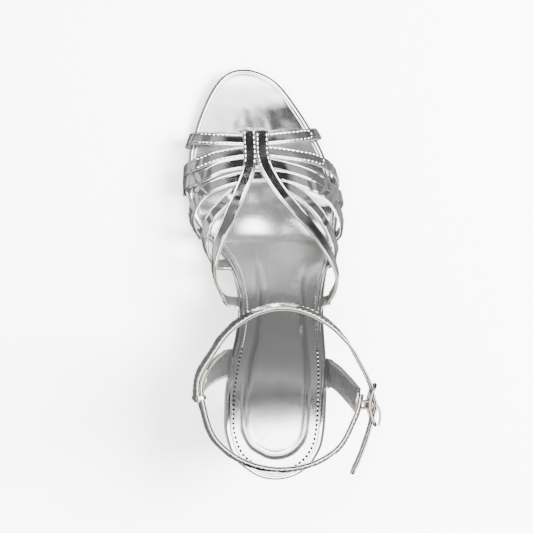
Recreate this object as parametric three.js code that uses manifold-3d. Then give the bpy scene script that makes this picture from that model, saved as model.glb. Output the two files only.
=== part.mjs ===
// Strappy heeled sandal, right foot. Millimetres, +X to the outer side, +Y to the toe, +Z up.
// A foot form (sole outline, footbed profile and instep arch) carries the soles and the front straps.
// A ring at ankle height carries the back strap, the ankle strap and the buckle.
import * as THREE from 'three';
import { mergeVertices } from 'three/addons/utils/BufferGeometryUtils.js';
import Module from 'manifold-3d';

const wasm = await Module();
wasm.setup();

// Driving sizes of the sole and heel
const soleLength = 214.5;
const ballWidth = 82;
const seatHeight = 88;
const outsoleThickness = 2.6;
const insoleThickness = 4.2;
const insoleEdgeRadius = 1.5;
const sockThickness = 1.3;
const sockEdgeRadius = 0.7;
const sockInset = 2.8;
const outsoleInset = 0.6;
const outsoleEdgeRadius = 0.4;
const heelBreastDepth = 44;
const heelTopInset = 1.4;
const heelTipWidth = 27;
const heelTipDepth = 25;
const heelTipSetback = 8.5;
const heelPieceThickness = 5;
const heelPieceBevel = 0.5;

// Driving sizes of the straps
const instepHeight = 64;
const strapThickness = 1.7;
const vampStrapWidth = 6.6;
const yokeStrapWidth = 6.8;
const tuckDepth = 5;
const quarterBaseWidth = 17.5;
const quarterTopWidth = 11.5;
const quarterKnee = 4;
const ankleHeight = 148;
const ankleRadius = 41.6;
const ankleStrapWidth = 8.5;
const ankleStrapThickness = 1.6;
const ankleLean = 15;
const tailLength = 23;
const tailRun = 1.5;
const tailTurnIn = 0.5;

// Driving sizes of the buckle and the keeper
const buckleLength = 20.2;
const buckleWire = 1.6;
const buckleRoom = 0.8;
const loopLeather = 0.9;
const loopInset = 0.5;
const buckleStand = 1.4;
const buckleCorner = 3;
const prongThickness = 1.4;
const prongHoleRoom = 0.5;
const prongRun = 2;
const prongBow = 0.6;
const keeperWidth = 3.2;
const keeperThickness = 0.9;

// Fit between pieces that meet
const fitGap = 0.3;
const heelSeatGap = 0.5;

// How finely curves are cut into flat faces
const soleStations = 40;
const strapSpans = 38;
const armSpans = 26;
const shortSpans = 16;
const ringSpans = 44;
const heelLevels = 14;
const rodSides = 8;
const frameSpans = 60;
const stemSpans = 16;
const eyeSpans = 20;
const cylinderSides = 16;

// Sole outline. at: share of the sole length from the heel; medial, lateral: shares of the ball width
const outlineRows = [
  { at: 0.000, medial: 0.004, lateral: 0.004 },
  { at: 0.007, medial: -0.100, lateral: 0.107 },
  { at: 0.019, medial: -0.157, lateral: 0.170 },
  { at: 0.047, medial: -0.244, lateral: 0.246 },
  { at: 0.084, medial: -0.290, lateral: 0.295 },
  { at: 0.126, medial: -0.310, lateral: 0.315 },
  { at: 0.182, medial: -0.306, lateral: 0.328 },
  { at: 0.266, medial: -0.273, lateral: 0.339 },
  { at: 0.345, medial: -0.223, lateral: 0.337 },
  { at: 0.406, medial: -0.205, lateral: 0.344 },
  { at: 0.464, medial: -0.222, lateral: 0.368 },
  { at: 0.510, medial: -0.274, lateral: 0.399 },
  { at: 0.546, medial: -0.341, lateral: 0.429 },
  { at: 0.583, medial: -0.421, lateral: 0.456 },
  { at: 0.639, medial: -0.505, lateral: 0.473 },
  { at: 0.706, medial: -0.527, lateral: 0.446 },
  { at: 0.779, medial: -0.520, lateral: 0.388 },
  { at: 0.849, medial: -0.476, lateral: 0.295 },
  { at: 0.912, medial: -0.415, lateral: 0.187 },
  { at: 0.967, medial: -0.332, lateral: 0.065 },
  { at: 0.993, medial: -0.249, lateral: -0.057 },
  { at: 1.000, medial: -0.156, lateral: -0.156 },
];

// Footbed profile. rise: share of the way from the forefoot's footbed to the seat height
const profileRows = [
  { at: 0.000, rise: 1.000 },
  { at: 0.126, rise: 0.905 },
  { at: 0.219, rise: 0.796 },
  { at: 0.312, rise: 0.635 },
  { at: 0.406, rise: 0.431 },
  { at: 0.499, rise: 0.225 },
  { at: 0.569, rise: 0.0915 },
  { at: 0.629, rise: 0.0185 },
  { at: 0.667, rise: 0.000 },
  { at: 0.800, rise: 0.000 },
  { at: 0.895, rise: 0.020 },
  { at: 0.951, rise: 0.044 },
  { at: 1.000, rise: 0.075 },
];

// Foot form over the sole. arch, level: shares of the instep height, for the top of the foot and its
// widest point; swellIn, swellOut: shares of the ball width that the foot stands outside the sole
const formRows = [
  { at: 0.390, arch: 1.000, level: 0.200, swellIn: 0.060, swellOut: 0.026 },
  { at: 0.435, arch: 0.930, level: 0.240, swellIn: 0.088, swellOut: 0.032 },
  { at: 0.470, arch: 0.870, level: 0.260, swellIn: 0.107, swellOut: 0.030 },
  { at: 0.511, arch: 0.800, level: 0.250, swellIn: 0.092, swellOut: 0.018 },
  { at: 0.546, arch: 0.745, level: 0.220, swellIn: 0.072, swellOut: 0.016 },
  { at: 0.593, arch: 0.685, level: 0.180, swellIn: 0.035, swellOut: 0.016 },
  { at: 0.640, arch: 0.635, level: 0.150, swellIn: 0.017, swellOut: 0.017 },
  { at: 0.710, arch: 0.555, level: 0.140, swellIn: 0.017, swellOut: 0.017 },
  { at: 0.780, arch: 0.470, level: 0.140, swellIn: 0.016, swellOut: 0.016 },
  { at: 0.850, arch: 0.390, level: 0.130, swellIn: 0.015, swellOut: 0.015 },
];
const apexShare = 0.475;

// Ankle ring. turn: degrees from the front towards the outer side; reach: share of the ankle radius
const ringRows = [
  { turn: -60, reach: 0.918 },
  { turn: 0, reach: 0.965 },
  { turn: 50, reach: 0.950 },
  { turn: 90, reach: 1.000 },
  { turn: 125, reach: 0.995 },
  { turn: 180, reach: 0.975 },
  { turn: 235, reach: 1.000 },
  { turn: 270, reach: 1.005 },
  { turn: 300, reach: 0.918 },
  { turn: 360, reach: 0.965 },
];
const ringCentreAt = 0.234;
const ringCentreShare = -0.006;

// Monotone cubic through the rows of a table, so that equal rows give an exactly flat stretch
function smooth(rows, key, column) {
  const x = rows.map((row) => row[key]);
  const y = rows.map((row) => row[column]);
  const last = rows.length - 1;
  const slope = [];
  for (let i = 0; i < last; i += 1) slope.push((y[i + 1] - y[i]) / (x[i + 1] - x[i]));
  const tangent = [slope[0]];
  for (let i = 1; i < last; i += 1) {
    const turning = slope[i - 1] * slope[i] <= 0;
    tangent.push(turning ? 0 : (2 * slope[i - 1] * slope[i]) / (slope[i - 1] + slope[i]));
  }
  tangent.push(slope[last - 1]);
  return (value) => {
    const inside = Math.min(Math.max(value, x[0]), x[last]);
    let i = 0;
    while (i < last - 1 && inside > x[i + 1]) i += 1;
    const width = x[i + 1] - x[i];
    const t = (inside - x[i]) / width;
    const rise = (1 + 2 * t) * (1 - t) * (1 - t) * y[i] + t * t * (3 - 2 * t) * y[i + 1];
    return rise + width * t * (1 - t) * ((1 - t) * tangent[i] - t * tangent[i + 1]);
  };
}

// The outline is read against an angle round each end, which keeps toe and heel round
const roundKey = (at) => Math.acos(1 - 2 * Math.min(Math.max(at, 0), 1)) / Math.PI;
const outlineKeyed = outlineRows.map((row) => ({ ...row, key: roundKey(row.at) }));
const medialShare = smooth(outlineKeyed, 'key', 'medial');
const lateralShare = smooth(outlineKeyed, 'key', 'lateral');
const riseShare = smooth(profileRows, 'at', 'rise');
const archShare = smooth(formRows, 'at', 'arch');
const levelShare = smooth(formRows, 'at', 'level');
const swellInShare = smooth(formRows, 'at', 'swellIn');
const swellOutShare = smooth(formRows, 'at', 'swellOut');
const reachShare = smooth(ringRows, 'turn', 'reach');

const forefootHeight = outsoleThickness + fitGap + insoleThickness;
const yAt = (at) => (at - 0.5) * soleLength;
const atY = (y) => y / soleLength + 0.5;
const medialEdge = (at) => medialShare(roundKey(at)) * ballWidth;
const lateralEdge = (at) => lateralShare(roundKey(at)) * ballWidth;
const footbed = (at) => forefootHeight + riseShare(at) * (seatHeight - forefootHeight);

// Height of the surface that lies a given depth under the footbed, measured square to its slope
function soleHeight(at, depth) {
  const step = 0.002;
  const low = Math.max(at - step, 0);
  const high = Math.min(at + step, 1);
  const slope = (footbed(high) - footbed(low)) / (yAt(high) - yAt(low));
  return footbed(at) - depth * Math.hypot(1, slope);
}

// Closed geometry from positions and triangles, with faces turned outwards
function solid(points, faces) {
  const position = new Float32Array(points.length * 3);
  points.forEach((p, i) => position.set([p.x, p.y, p.z], i * 3));
  const raw = new THREE.BufferGeometry();
  raw.setAttribute('position', new THREE.BufferAttribute(position, 3));
  raw.setIndex(faces.flat());
  const merged = mergeVertices(raw, 1e-4);
  const index = merged.index.array;
  const kept = [];
  for (let i = 0; i < index.length; i += 3) {
    const [a, b, c] = [index[i], index[i + 1], index[i + 2]];
    if (a !== b && b !== c && a !== c) kept.push(a, b, c);
  }
  const place = merged.attributes.position;
  const corner = (i) => new THREE.Vector3().fromBufferAttribute(place, i);
  let volume = 0;
  for (let i = 0; i < kept.length; i += 3) {
    volume += corner(kept[i]).dot(corner(kept[i + 1]).cross(corner(kept[i + 2])));
  }
  if (volume < 0) kept.reverse();
  merged.setIndex(kept);
  return merged;
}

// Solid between a stack of closed loops with equal counts, closed at both ends by the given caps
function loft(loops, capTriangles) {
  const points = loops.flat();
  const count = loops[0].length;
  const faces = [];
  for (let row = 0; row + 1 < loops.length; row += 1) {
    for (let i = 0; i < count; i += 1) {
      const a = row * count + i;
      const b = row * count + ((i + 1) % count);
      faces.push([a, b, b + count], [a, b + count, a + count]);
    }
  }
  const top = (loops.length - 1) * count;
  for (const [a, b, c] of capTriangles(count)) {
    faces.push([a, c, b], [top + a, top + b, top + c]);
  }
  return solid(points, faces);
}

const fanCap = (count) => {
  const faces = [];
  for (let i = 1; i + 1 < count; i += 1) faces.push([0, i, i + 1]);
  return faces;
};

function toManifold(geometry) {
  const bare = geometry.clone();
  bare.deleteAttribute('normal');
  bare.deleteAttribute('uv');
  const merged = mergeVertices(bare, 1e-4);
  const mesh = new wasm.Mesh({
    numProp: 3,
    vertProperties: Float32Array.from(merged.attributes.position.array),
    triVerts: Uint32Array.from(merged.index.array),
  });
  return new wasm.Manifold(mesh);
}

function toGeometry(manifold) {
  const mesh = manifold.getMesh();
  const geometry = new THREE.BufferGeometry();
  geometry.setAttribute('position', new THREE.BufferAttribute(mesh.vertProperties, 3));
  geometry.setIndex(new THREE.BufferAttribute(mesh.triVerts, 1));
  return geometry;
}

const joined = (geometries) => geometries.map(toManifold).reduce((all, one) => all.add(one));

// Sole layers

// Shares of the length at the points round the outline, from the heel round the inner side to the toe
const outlineAts = [];
for (let i = 0; i < 2 * soleStations; i += 1) {
  const station = i <= soleStations ? i : 2 * soleStations - i;
  outlineAts.push((1 - Math.cos((Math.PI * station) / soleStations)) / 2);
}

// Points round the sole outline, moved inwards by a distance
function outlineRing(inset) {
  const edge = outlineAts.map((at, i) => {
    const inner = i <= soleStations;
    return new THREE.Vector2(inner ? medialEdge(at) : lateralEdge(at), yAt(at));
  });
  const count = edge.length;
  return edge.map((point, i) => {
    const along = edge[(i + 1) % count].clone().sub(edge[(i + count - 1) % count]).normalize();
    return point.clone().add(new THREE.Vector2(along.y, -along.x).multiplyScalar(inset));
  });
}

// Middle line of the sole, which the top and bottom faces run in to
const spineHeelAt = 0.125;
const spineToeAt = 0.86;
function spineRing(depth) {
  return outlineAts.map((outlineAt) => {
    const at = Math.min(Math.max(outlineAt, spineHeelAt), spineToeAt);
    const x = (medialEdge(at) + lateralEdge(at)) / 2;
    return new THREE.Vector3(x, yAt(at), soleHeight(at, depth));
  });
}

function soleLayer({ inset, top, bottom, edgeRadius }) {
  const ring = (extra, depth) => outlineRing(inset + extra).map(
    (p) => new THREE.Vector3(p.x, p.y, soleHeight(atY(p.y), depth)),
  );
  const bend = edgeRadius * (1 - Math.SQRT1_2);
  const loops = [
    spineRing(top),
    ring(edgeRadius, top),
    ring(bend, top + bend),
    ring(0, top + edgeRadius),
    ring(0, bottom),
    spineRing(bottom),
  ];
  return loft(loops, () => []);
}

// Heel and its top piece. Each level is a D: a flat breast in front and a round back
const heelFrontAt = heelBreastDepth / soleLength;
const heelStations = outlineAts.filter((at, i) => i <= soleStations && at < heelFrontAt).length;
const tipRoundness = 0.8;
const tipBackY = yAt(0) + heelTipSetback;
const tipCentreX = ringCentreShare * ballWidth;

// Outline of the heel's seat, under the insole, from the back to the breast on each side
function heelTopLoop() {
  const ring = outlineRing(heelTopInset);
  const breast = (edge) => new THREE.Vector2(edge - Math.sign(edge) * heelTopInset, yAt(heelFrontAt));
  const medial = ring.slice(0, heelStations);
  const lateral = medial.map((point, i) => ring[(ring.length - i) % ring.length]);
  medial.push(breast(medialEdge(heelFrontAt)));
  lateral.push(breast(lateralEdge(heelFrontAt)));
  const seat = (p) => new THREE.Vector3(p.x, p.y, soleHeight(atY(p.y), insoleThickness + heelSeatGap));
  return [...medial, ...lateral.reverse()].map(seat);
}

function heelTipLoop(z, shrink) {
  const medial = [];
  const lateral = [];
  for (let i = 0; i <= heelStations; i += 1) {
    const turn = (Math.PI / 2) * (i / heelStations);
    const depth = (1 - Math.cos(turn)) * (heelTipDepth - 2 * shrink);
    const width = (heelTipWidth / 2 - shrink) * Math.sin(turn) ** tipRoundness;
    medial.push(new THREE.Vector3(tipCentreX - width, tipBackY + shrink + depth, z));
    lateral.push(new THREE.Vector3(tipCentreX + width, tipBackY + shrink + depth, z));
  }
  return [...medial, ...lateral.reverse()];
}

// Strips across a D, between its inner and outer sides
const stripCap = (count) => {
  const faces = [];
  for (let i = 0; i + 1 < count / 2; i += 1) {
    const far = count - 1 - i;
    faces.push([i, i + 1, far - 1], [i, far - 1, far]);
  }
  return faces;
};

// flare: how much of the way from the tip's outline to the seat's outline, at each share of the height
const heelRows = [
  { height: 0.00, flare: 0.000 },
  { height: 0.25, flare: 0.090 },
  { height: 0.50, flare: 0.235 },
  { height: 0.70, flare: 0.440 },
  { height: 0.86, flare: 0.720 },
  { height: 1.00, flare: 1.000 },
];

function heelGeometry() {
  const top = heelTopLoop();
  const tip = heelTipLoop(heelPieceThickness + fitGap, 0);
  const flare = smooth(heelRows, 'height', 'flare');
  const loops = [];
  for (let row = 0; row <= heelLevels; row += 1) {
    const height = row / heelLevels;
    loops.push(tip.map((low, i) => {
      const point = low.clone().lerp(top[i], flare(height));
      point.z = low.z + (top[i].z - low.z) * height;
      return point;
    }));
  }
  return loft(loops, stripCap);
}

function heelPieceGeometry() {
  return loft([
    heelTipLoop(0, heelPieceBevel),
    heelTipLoop(heelPieceBevel, 0),
    heelTipLoop(heelPieceThickness, 0),
  ], stripCap);
}

// Foot form that the front straps lie on. angle: 0 on top, 90 at the widest point, straight down from there
// to bendAngle, round the insole's edge to 180, and on for tuckAngle into the pocket under it; negative on
// the inner side
const bendAngle = 150;
const tuckAngle = 60;
const tuckLevel = insoleThickness - strapThickness - fitGap / 2;
function formPoint(angle, at) {
  const side = Math.sign(angle) || 1;
  const turn = Math.abs(angle);
  const edge = side < 0 ? medialEdge(at) : lateralEdge(at);
  const swell = ballWidth * (side < 0 ? swellInShare(at) : swellOutShare(at));
  const base = soleHeight(at, 0);
  const tuck = soleHeight(at, tuckLevel);
  const level = instepHeight * levelShare(at);
  if (turn > 180) {
    const inwards = (tuckDepth * (turn - 180)) / tuckAngle;
    return new THREE.Vector3(edge - side * inwards, yAt(at), tuck);
  }
  if (turn > bendAngle) {
    const round = (Math.PI / 2) * ((turn - bendAngle) / (180 - bendAngle));
    const out = side * swell * Math.cos(round);
    return new THREE.Vector3(edge + out, yAt(at), tuck + swell * (1 - Math.sin(round)));
  }
  if (turn > 90) {
    const z = THREE.MathUtils.mapLinear(turn, 90, bendAngle, base + level, tuck + swell);
    return new THREE.Vector3(edge + side * swell, yAt(at), z);
  }
  const bend = THREE.MathUtils.degToRad(turn);
  const apex = THREE.MathUtils.lerp(medialEdge(at), lateralEdge(at), apexShare);
  const halfWidth = edge + side * swell - apex;
  const crown = instepHeight * archShare(at) - level;
  const z = base + level + crown * Math.cos(bend);
  return new THREE.Vector3(apex + halfWidth * Math.sin(bend), yAt(at), z);
}

// Outward direction of the foot form
function formNormal(angle, at) {
  const turnStep = 1.5;
  const atStep = 0.004;
  const round = formPoint(angle + turnStep, at).sub(formPoint(angle - turnStep, at));
  const forward = formPoint(angle, at + atStep).sub(formPoint(angle, at - atStep));
  return round.cross(forward).normalize();
}

// A strap is a ribbon through stations: middle point, half-width vector across and outward direction.
// Its outer corners are rounded off by a chamfer.
const chamferShare = 1 / 3;
function ribbon(stations, thickness) {
  const chamfer = thickness * chamferShare;
  const loops = stations.map(({ centre, across, out }) => {
    const narrow = across.clone().multiplyScalar(1 - chamfer / across.length());
    const at = (side, lift) => centre.clone().add(side).addScaledVector(out, lift);
    return [
      at(across.clone().negate(), 0),
      at(across, 0),
      at(across, thickness - chamfer),
      at(narrow, thickness),
      at(narrow.clone().negate(), thickness),
      at(across.clone().negate(), thickness - chamfer),
    ];
  });
  return loft(loops, fanCap);
}

// The same ribbon, larger all round by a gap and deep enough to break through: the pocket that it lies in
function pocket(stations, thickness, gap) {
  const grown = stations.map(({ centre, across, out }) => ({
    centre: centre.clone().addScaledVector(out, -gap),
    across: across.clone().setLength(across.length() + gap),
    out,
  }));
  const first = grown[0];
  const along = stations[0].centre.clone().sub(stations[1].centre).setLength(gap);
  first.centre.add(along);
  return ribbon(grown, 2 * thickness + 2 * gap);
}

// Shares of a curve, given as a function of 0 to 1, at equal steps of length and of turning, so that
// bends get more stations than straight stretches
const bendWeight = 12;
const fine = 400;
function evenly(curve, spans) {
  const lengths = [0];
  let before = curve(0);
  let heading = curve(1 / fine).sub(before).normalize();
  for (let i = 1; i <= fine; i += 1) {
    const here = curve(i / fine);
    const forward = here.clone().sub(before);
    const length = forward.length();
    const direction = forward.normalize();
    lengths.push(lengths[i - 1] + length + bendWeight * direction.angleTo(heading));
    heading = direction;
    before = here;
  }
  const shares = [];
  for (let i = 0, k = 0; i <= spans; i += 1) {
    const target = (lengths[fine] * i) / spans;
    while (k < fine - 1 && lengths[k + 1] < target) k += 1;
    shares.push((k + (target - lengths[k]) / (lengths[k + 1] - lengths[k])) / fine);
  }
  return shares.map((share) => Math.min(Math.max(share, 0), 1));
}

// Front strap along rows of angle and at on the foot form, lifted off it by shares of its thickness
const headingStep = 0.004;
function formStrap(rows, width, spans) {
  const path = new THREE.SplineCurve(rows.map((row) => new THREE.Vector2(row.angle, row.at)));
  const liftPath = new THREE.SplineCurve(rows.map((row, i) => new THREE.Vector2(i, row.lift ?? 0)));
  const place = (share) => {
    const here = path.getPoint(share);
    const lift = strapThickness * liftPath.getPoint(share).y;
    return formPoint(here.x, here.y).addScaledVector(formNormal(here.x, here.y), lift);
  };
  return evenly(place, spans).map((share) => {
    const here = path.getPoint(share);
    const ahead = place(Math.min(share + headingStep, 1));
    const along = ahead.sub(place(Math.max(share - headingStep, 0))).normalize();
    const normal = formNormal(here.x, here.y);
    const across = normal.clone().cross(along).setLength(width / 2);
    return { centre: place(share), across, out: along.clone().cross(across).normalize(), angle: here.x };
  });
}

// Five cross straps, from the inner pocket over the foot to the outer pocket. The fifth is in two
// halves that end under the yoke's arms.
const crossStrapRows = [
  [
    { angle: -240, at: 0.814 },
    { angle: -185, at: 0.814 },
    { angle: -130, at: 0.815 },
    { angle: -75, at: 0.821 },
    { angle: -33, at: 0.814 },
    { angle: 0, at: 0.811 },
    { angle: 26, at: 0.818 },
    { angle: 53, at: 0.827 },
    { angle: 82, at: 0.833 },
    { angle: 130, at: 0.834 },
    { angle: 185, at: 0.834 },
    { angle: 240, at: 0.834 },
  ],
  [
    { angle: -240, at: 0.728 },
    { angle: -185, at: 0.728 },
    { angle: -130, at: 0.731 },
    { angle: -90, at: 0.741 },
    { angle: -60, at: 0.752 },
    { angle: -32, at: 0.771 },
    { angle: 0, at: 0.782 },
    { angle: 33, at: 0.772 },
    { angle: 54, at: 0.763 },
    { angle: 72, at: 0.745 },
    { angle: 95, at: 0.724 },
    { angle: 130, at: 0.714 },
    { angle: 185, at: 0.712 },
    { angle: 240, at: 0.712 },
  ],
  [
    { angle: -240, at: 0.695 },
    { angle: -185, at: 0.695 },
    { angle: -130, at: 0.698 },
    { angle: -95, at: 0.706 },
    { angle: -72, at: 0.713 },
    { angle: -49, at: 0.722 },
    { angle: -29, at: 0.744 },
    { angle: 0, at: 0.754 },
    { angle: 26, at: 0.737 },
    { angle: 42, at: 0.719 },
    { angle: 56, at: 0.696 },
    { angle: 78, at: 0.675 },
    { angle: 130, at: 0.664 },
    { angle: 185, at: 0.662 },
    { angle: 240, at: 0.662 },
  ],
  [
    { angle: -240, at: 0.585 },
    { angle: -185, at: 0.585 },
    { angle: -140, at: 0.587 },
    { angle: -100, at: 0.603 },
    { angle: -77, at: 0.630 },
    { angle: -59, at: 0.668 },
    { angle: -44, at: 0.691 },
    { angle: -15, at: 0.716 },
    { angle: 14, at: 0.720 },
    { angle: 34, at: 0.702 },
    { angle: 55, at: 0.673 },
    { angle: 68, at: 0.630 },
    { angle: 90, at: 0.600 },
    { angle: 135, at: 0.582 },
    { angle: 185, at: 0.579 },
    { angle: 240, at: 0.579 },
  ],
];
const innerShortRows = [
  { angle: -240, at: 0.507 },
  { angle: -185, at: 0.507 },
  { angle: -150, at: 0.511 },
  { angle: -110, at: 0.530 },
  { angle: -78, at: 0.556 },
  { angle: -57, at: 0.596 },
  { angle: -37, at: 0.639 },
  { angle: -20, at: 0.682 },
];
const outerShortRows = [
  { angle: 13, at: 0.702, lift: 0 },
  { angle: 27, at: 0.675, lift: 0 },
  { angle: 41, at: 0.627, lift: 0 },
  { angle: 52, at: 0.592, lift: -0.4 },
  { angle: 64, at: 0.562, lift: -0.9 },
  { angle: 95, at: 0.532, lift: -0.4 },
  { angle: 140, at: 0.514, lift: 0 },
  { angle: 185, at: 0.511, lift: 0 },
  { angle: 240, at: 0.511, lift: 0 },
];

// Yoke: two arms side by side at the top, running back and down to the waist
const innerArmRows = [
  { angle: -240, at: 0.413, lift: 0 },
  { angle: -185, at: 0.413, lift: 0 },
  { angle: -155, at: 0.424, lift: 0.5 },
  { angle: -120, at: 0.450, lift: 0.8 },
  { angle: -80, at: 0.492, lift: 0.85 },
  { angle: -57, at: 0.537, lift: 0.85 },
  { angle: -31, at: 0.607, lift: 0.85 },
  { angle: -13.5, at: 0.694, lift: 0.85 },
  { angle: -6, at: 0.757, lift: 0.85 },
  { angle: -4, at: 0.832, lift: 0.85 },
];
const outerArmRows = [
  { angle: 6.8, at: 0.832, lift: 0.85 },
  { angle: 4.4, at: 0.757, lift: 0.85 },
  { angle: 10.5, at: 0.694, lift: 0.85 },
  { angle: 24, at: 0.619, lift: 0.85 },
  { angle: 43, at: 0.548, lift: 0.85 },
  { angle: 62, at: 0.503, lift: 0.85 },
  { angle: 90, at: 0.465, lift: 0.8 },
  { angle: 135, at: 0.432, lift: 0.5 },
  { angle: 185, at: 0.415, lift: 0 },
  { angle: 240, at: 0.415, lift: 0 },
];

const vampRibbons = [
  ...crossStrapRows.map((rows) => formStrap(rows, vampStrapWidth, strapSpans)),
  formStrap(innerShortRows, vampStrapWidth, shortSpans),
  formStrap(outerShortRows, vampStrapWidth, shortSpans),
  formStrap(innerArmRows, yokeStrapWidth, armSpans),
  formStrap(outerArmRows, yokeStrapWidth, armSpans),
];

// Ankle ring: middle of the strip's outer face at a turn, or of a face that lies a setback inside it
const ringCentre = new THREE.Vector2(ringCentreShare * ballWidth, yAt(ringCentreAt));
const lean = THREE.MathUtils.degToRad(ankleLean);
const stripMiddle = ankleHeight - (ankleStrapWidth / 2) * Math.cos(lean);
const lowerToMiddle = (ankleStrapWidth / 2) * Math.sin(lean);

function ringPoint(turn, setback) {
  const bend = THREE.MathUtils.degToRad(turn);
  const radius = ankleRadius * reachShare(((turn % 360) + 360) % 360) - lowerToMiddle;
  const inwards = radius - setback * Math.cos(lean);
  const x = ringCentre.x + inwards * Math.sin(bend);
  const y = ringCentre.y + inwards * Math.cos(bend);
  return new THREE.Vector3(x, y, stripMiddle - setback * Math.sin(lean));
}

const up = new THREE.Vector3(0, 0, 1);

// Upright strip along a level path of middle points; leans gives the inward lean at each one in radians
function uprightStrip(points, leans, width) {
  return points.map((centre, i) => {
    const ahead = points[Math.min(i + 1, points.length - 1)];
    const behind = points[Math.max(i - 1, 0)];
    const along = ahead.clone().sub(behind).normalize();
    const level = up.clone().cross(along).normalize();
    const out = level.multiplyScalar(Math.cos(leans[i])).addScaledVector(up, Math.sin(leans[i]));
    const across = along.clone().cross(out).setLength(width / 2);
    return { centre, across, out };
  });
}

// Back strap: a band behind the heel between the two quarters, set in at the sides under the ankle strap
const bandInnerTurn = 286;
const bandOuterTurn = 84;
const sideStep = ankleStrapThickness + fitGap;
const bandSideTurn = 30;
const bandStepFade = 26;
function bandSetback(turn) {
  const fromSide = Math.min(turn - bandOuterTurn, bandInnerTurn - turn);
  const share = Math.min(Math.max((fromSide - bandSideTurn) / bandStepFade, 0), 1);
  return ankleStrapThickness + sideStep * (1 - share * share * (3 - 2 * share));
}

function bandStations() {
  const points = [];
  const leans = [];
  for (let i = 0; i <= ringSpans; i += 1) {
    const turn = THREE.MathUtils.lerp(bandOuterTurn, bandInnerTurn, i / ringSpans);
    points.push(ringPoint(turn, bandSetback(turn)));
    leans.push(lean);
  }
  return uprightStrip(points, leans, ankleStrapWidth);
}

// Quarters: from a pocket at the seat up to the band. baseAt, topTurn: ends of the middle line
const quarters = {
  inner: { side: -1, baseAt: 0.268, topTurn: 275 },
  outer: { side: 1, baseAt: 0.246, topTurn: 99 },
};
// Way up a quarter. rise: share of its height; out, back: shares of its way to the top, across and along
const quarterRows = [
  { rise: 0.33, out: 0.40, back: 0.2 },
  { rise: 0.66, out: 0.76, back: 0.6 },
];
const quarterTopSink = 2.2;
const quarterTopInset = 1.2;

function quarterStations({ side, baseAt, topTurn }) {
  const edge = side < 0 ? medialEdge(baseAt) : lateralEdge(baseAt);
  const y = yAt(baseAt);
  const z = soleHeight(baseAt, tuckLevel);
  const top = ringPoint(topTurn, bandSetback(topTurn) + quarterTopInset);
  top.z = ankleHeight - quarterTopSink;
  top.x -= side * (ankleStrapWidth / 2 - quarterTopSink) * Math.sin(lean);
  const path = new THREE.CatmullRomCurve3([
    new THREE.Vector3(edge - side * tuckDepth, y, z),
    new THREE.Vector3(edge, y, z),
    new THREE.Vector3(edge + (side * quarterKnee) / 2, y, z + quarterKnee),
    ...quarterRows.map(({ rise, out, back }) => new THREE.Vector3(
      THREE.MathUtils.lerp(edge, top.x, out),
      THREE.MathUtils.lerp(y, top.y, back),
      THREE.MathUtils.lerp(z, top.z, rise),
    )),
    top,
  ]);
  const slopeStep = 0.01;
  const slope = new THREE.Vector3(
    0,
    yAt(baseAt + slopeStep) - yAt(baseAt - slopeStep),
    soleHeight(baseAt + slopeStep, 0) - soleHeight(baseAt - slopeStep, 0),
  ).normalize();
  const turnStep = 4;
  const ringAlong = ringPoint(topTurn - turnStep, 0).sub(ringPoint(topTurn + turnStep, 0)).normalize();
  ringAlong.multiplyScalar(Math.sign(ringAlong.y));
  const shares = evenly((share) => path.getPoint(share), shortSpans);
  return shares.map((share) => {
    const centre = path.getPoint(share);
    const along = path.getTangent(share);
    const blend = Math.min(Math.max((centre.z - z) / (top.z - z), 0), 1);
    const across = slope.clone().lerp(ringAlong, blend).normalize();
    const out = along.clone().cross(across).multiplyScalar(-side).normalize();
    across.setLength(THREE.MathUtils.lerp(quarterBaseWidth, quarterTopWidth, Math.sqrt(blend)) / 2);
    return { centre, across: across.multiplyScalar(side), out };
  });
}

// Buckle, on the outer side. Its middle bar stands just off the band, in a leather loop
const barRadius = buckleWire / 2;
const barTurn = 102;
const bandFaceAtBar = ringPoint(barTurn, bandSetback(barTurn) - ankleStrapThickness);
const loopRadius = barRadius + fitGap + loopLeather;
const barX = bandFaceAtBar.x + loopRadius + buckleStand;
const barY = bandFaceAtBar.y;
const strapOverBarX = barX + loopRadius + fitGap;
const frontBarY = barY + buckleLength / 2 - barRadius;
const rearBarY = barY - buckleLength / 2 + barRadius;
const strapUnderBarX = barX;
const endBarX = strapUnderBarX + ankleStrapThickness + 2 * fitGap + barRadius;
const railReach = ankleStrapWidth / 2 + buckleRoom + barRadius;

// Ankle strap: outside the band at the inner side, round the front, under, over and under the buckle's
// bars, then the free tail. The points are on its inner face.
const strapStartTurn = -100;
const strapEndTurn = 66;
const strapTurnStep = 8;
const leanFade = 14;
const tailSwingAtBar = 15;
const tailSwingAtTip = 21;

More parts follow.
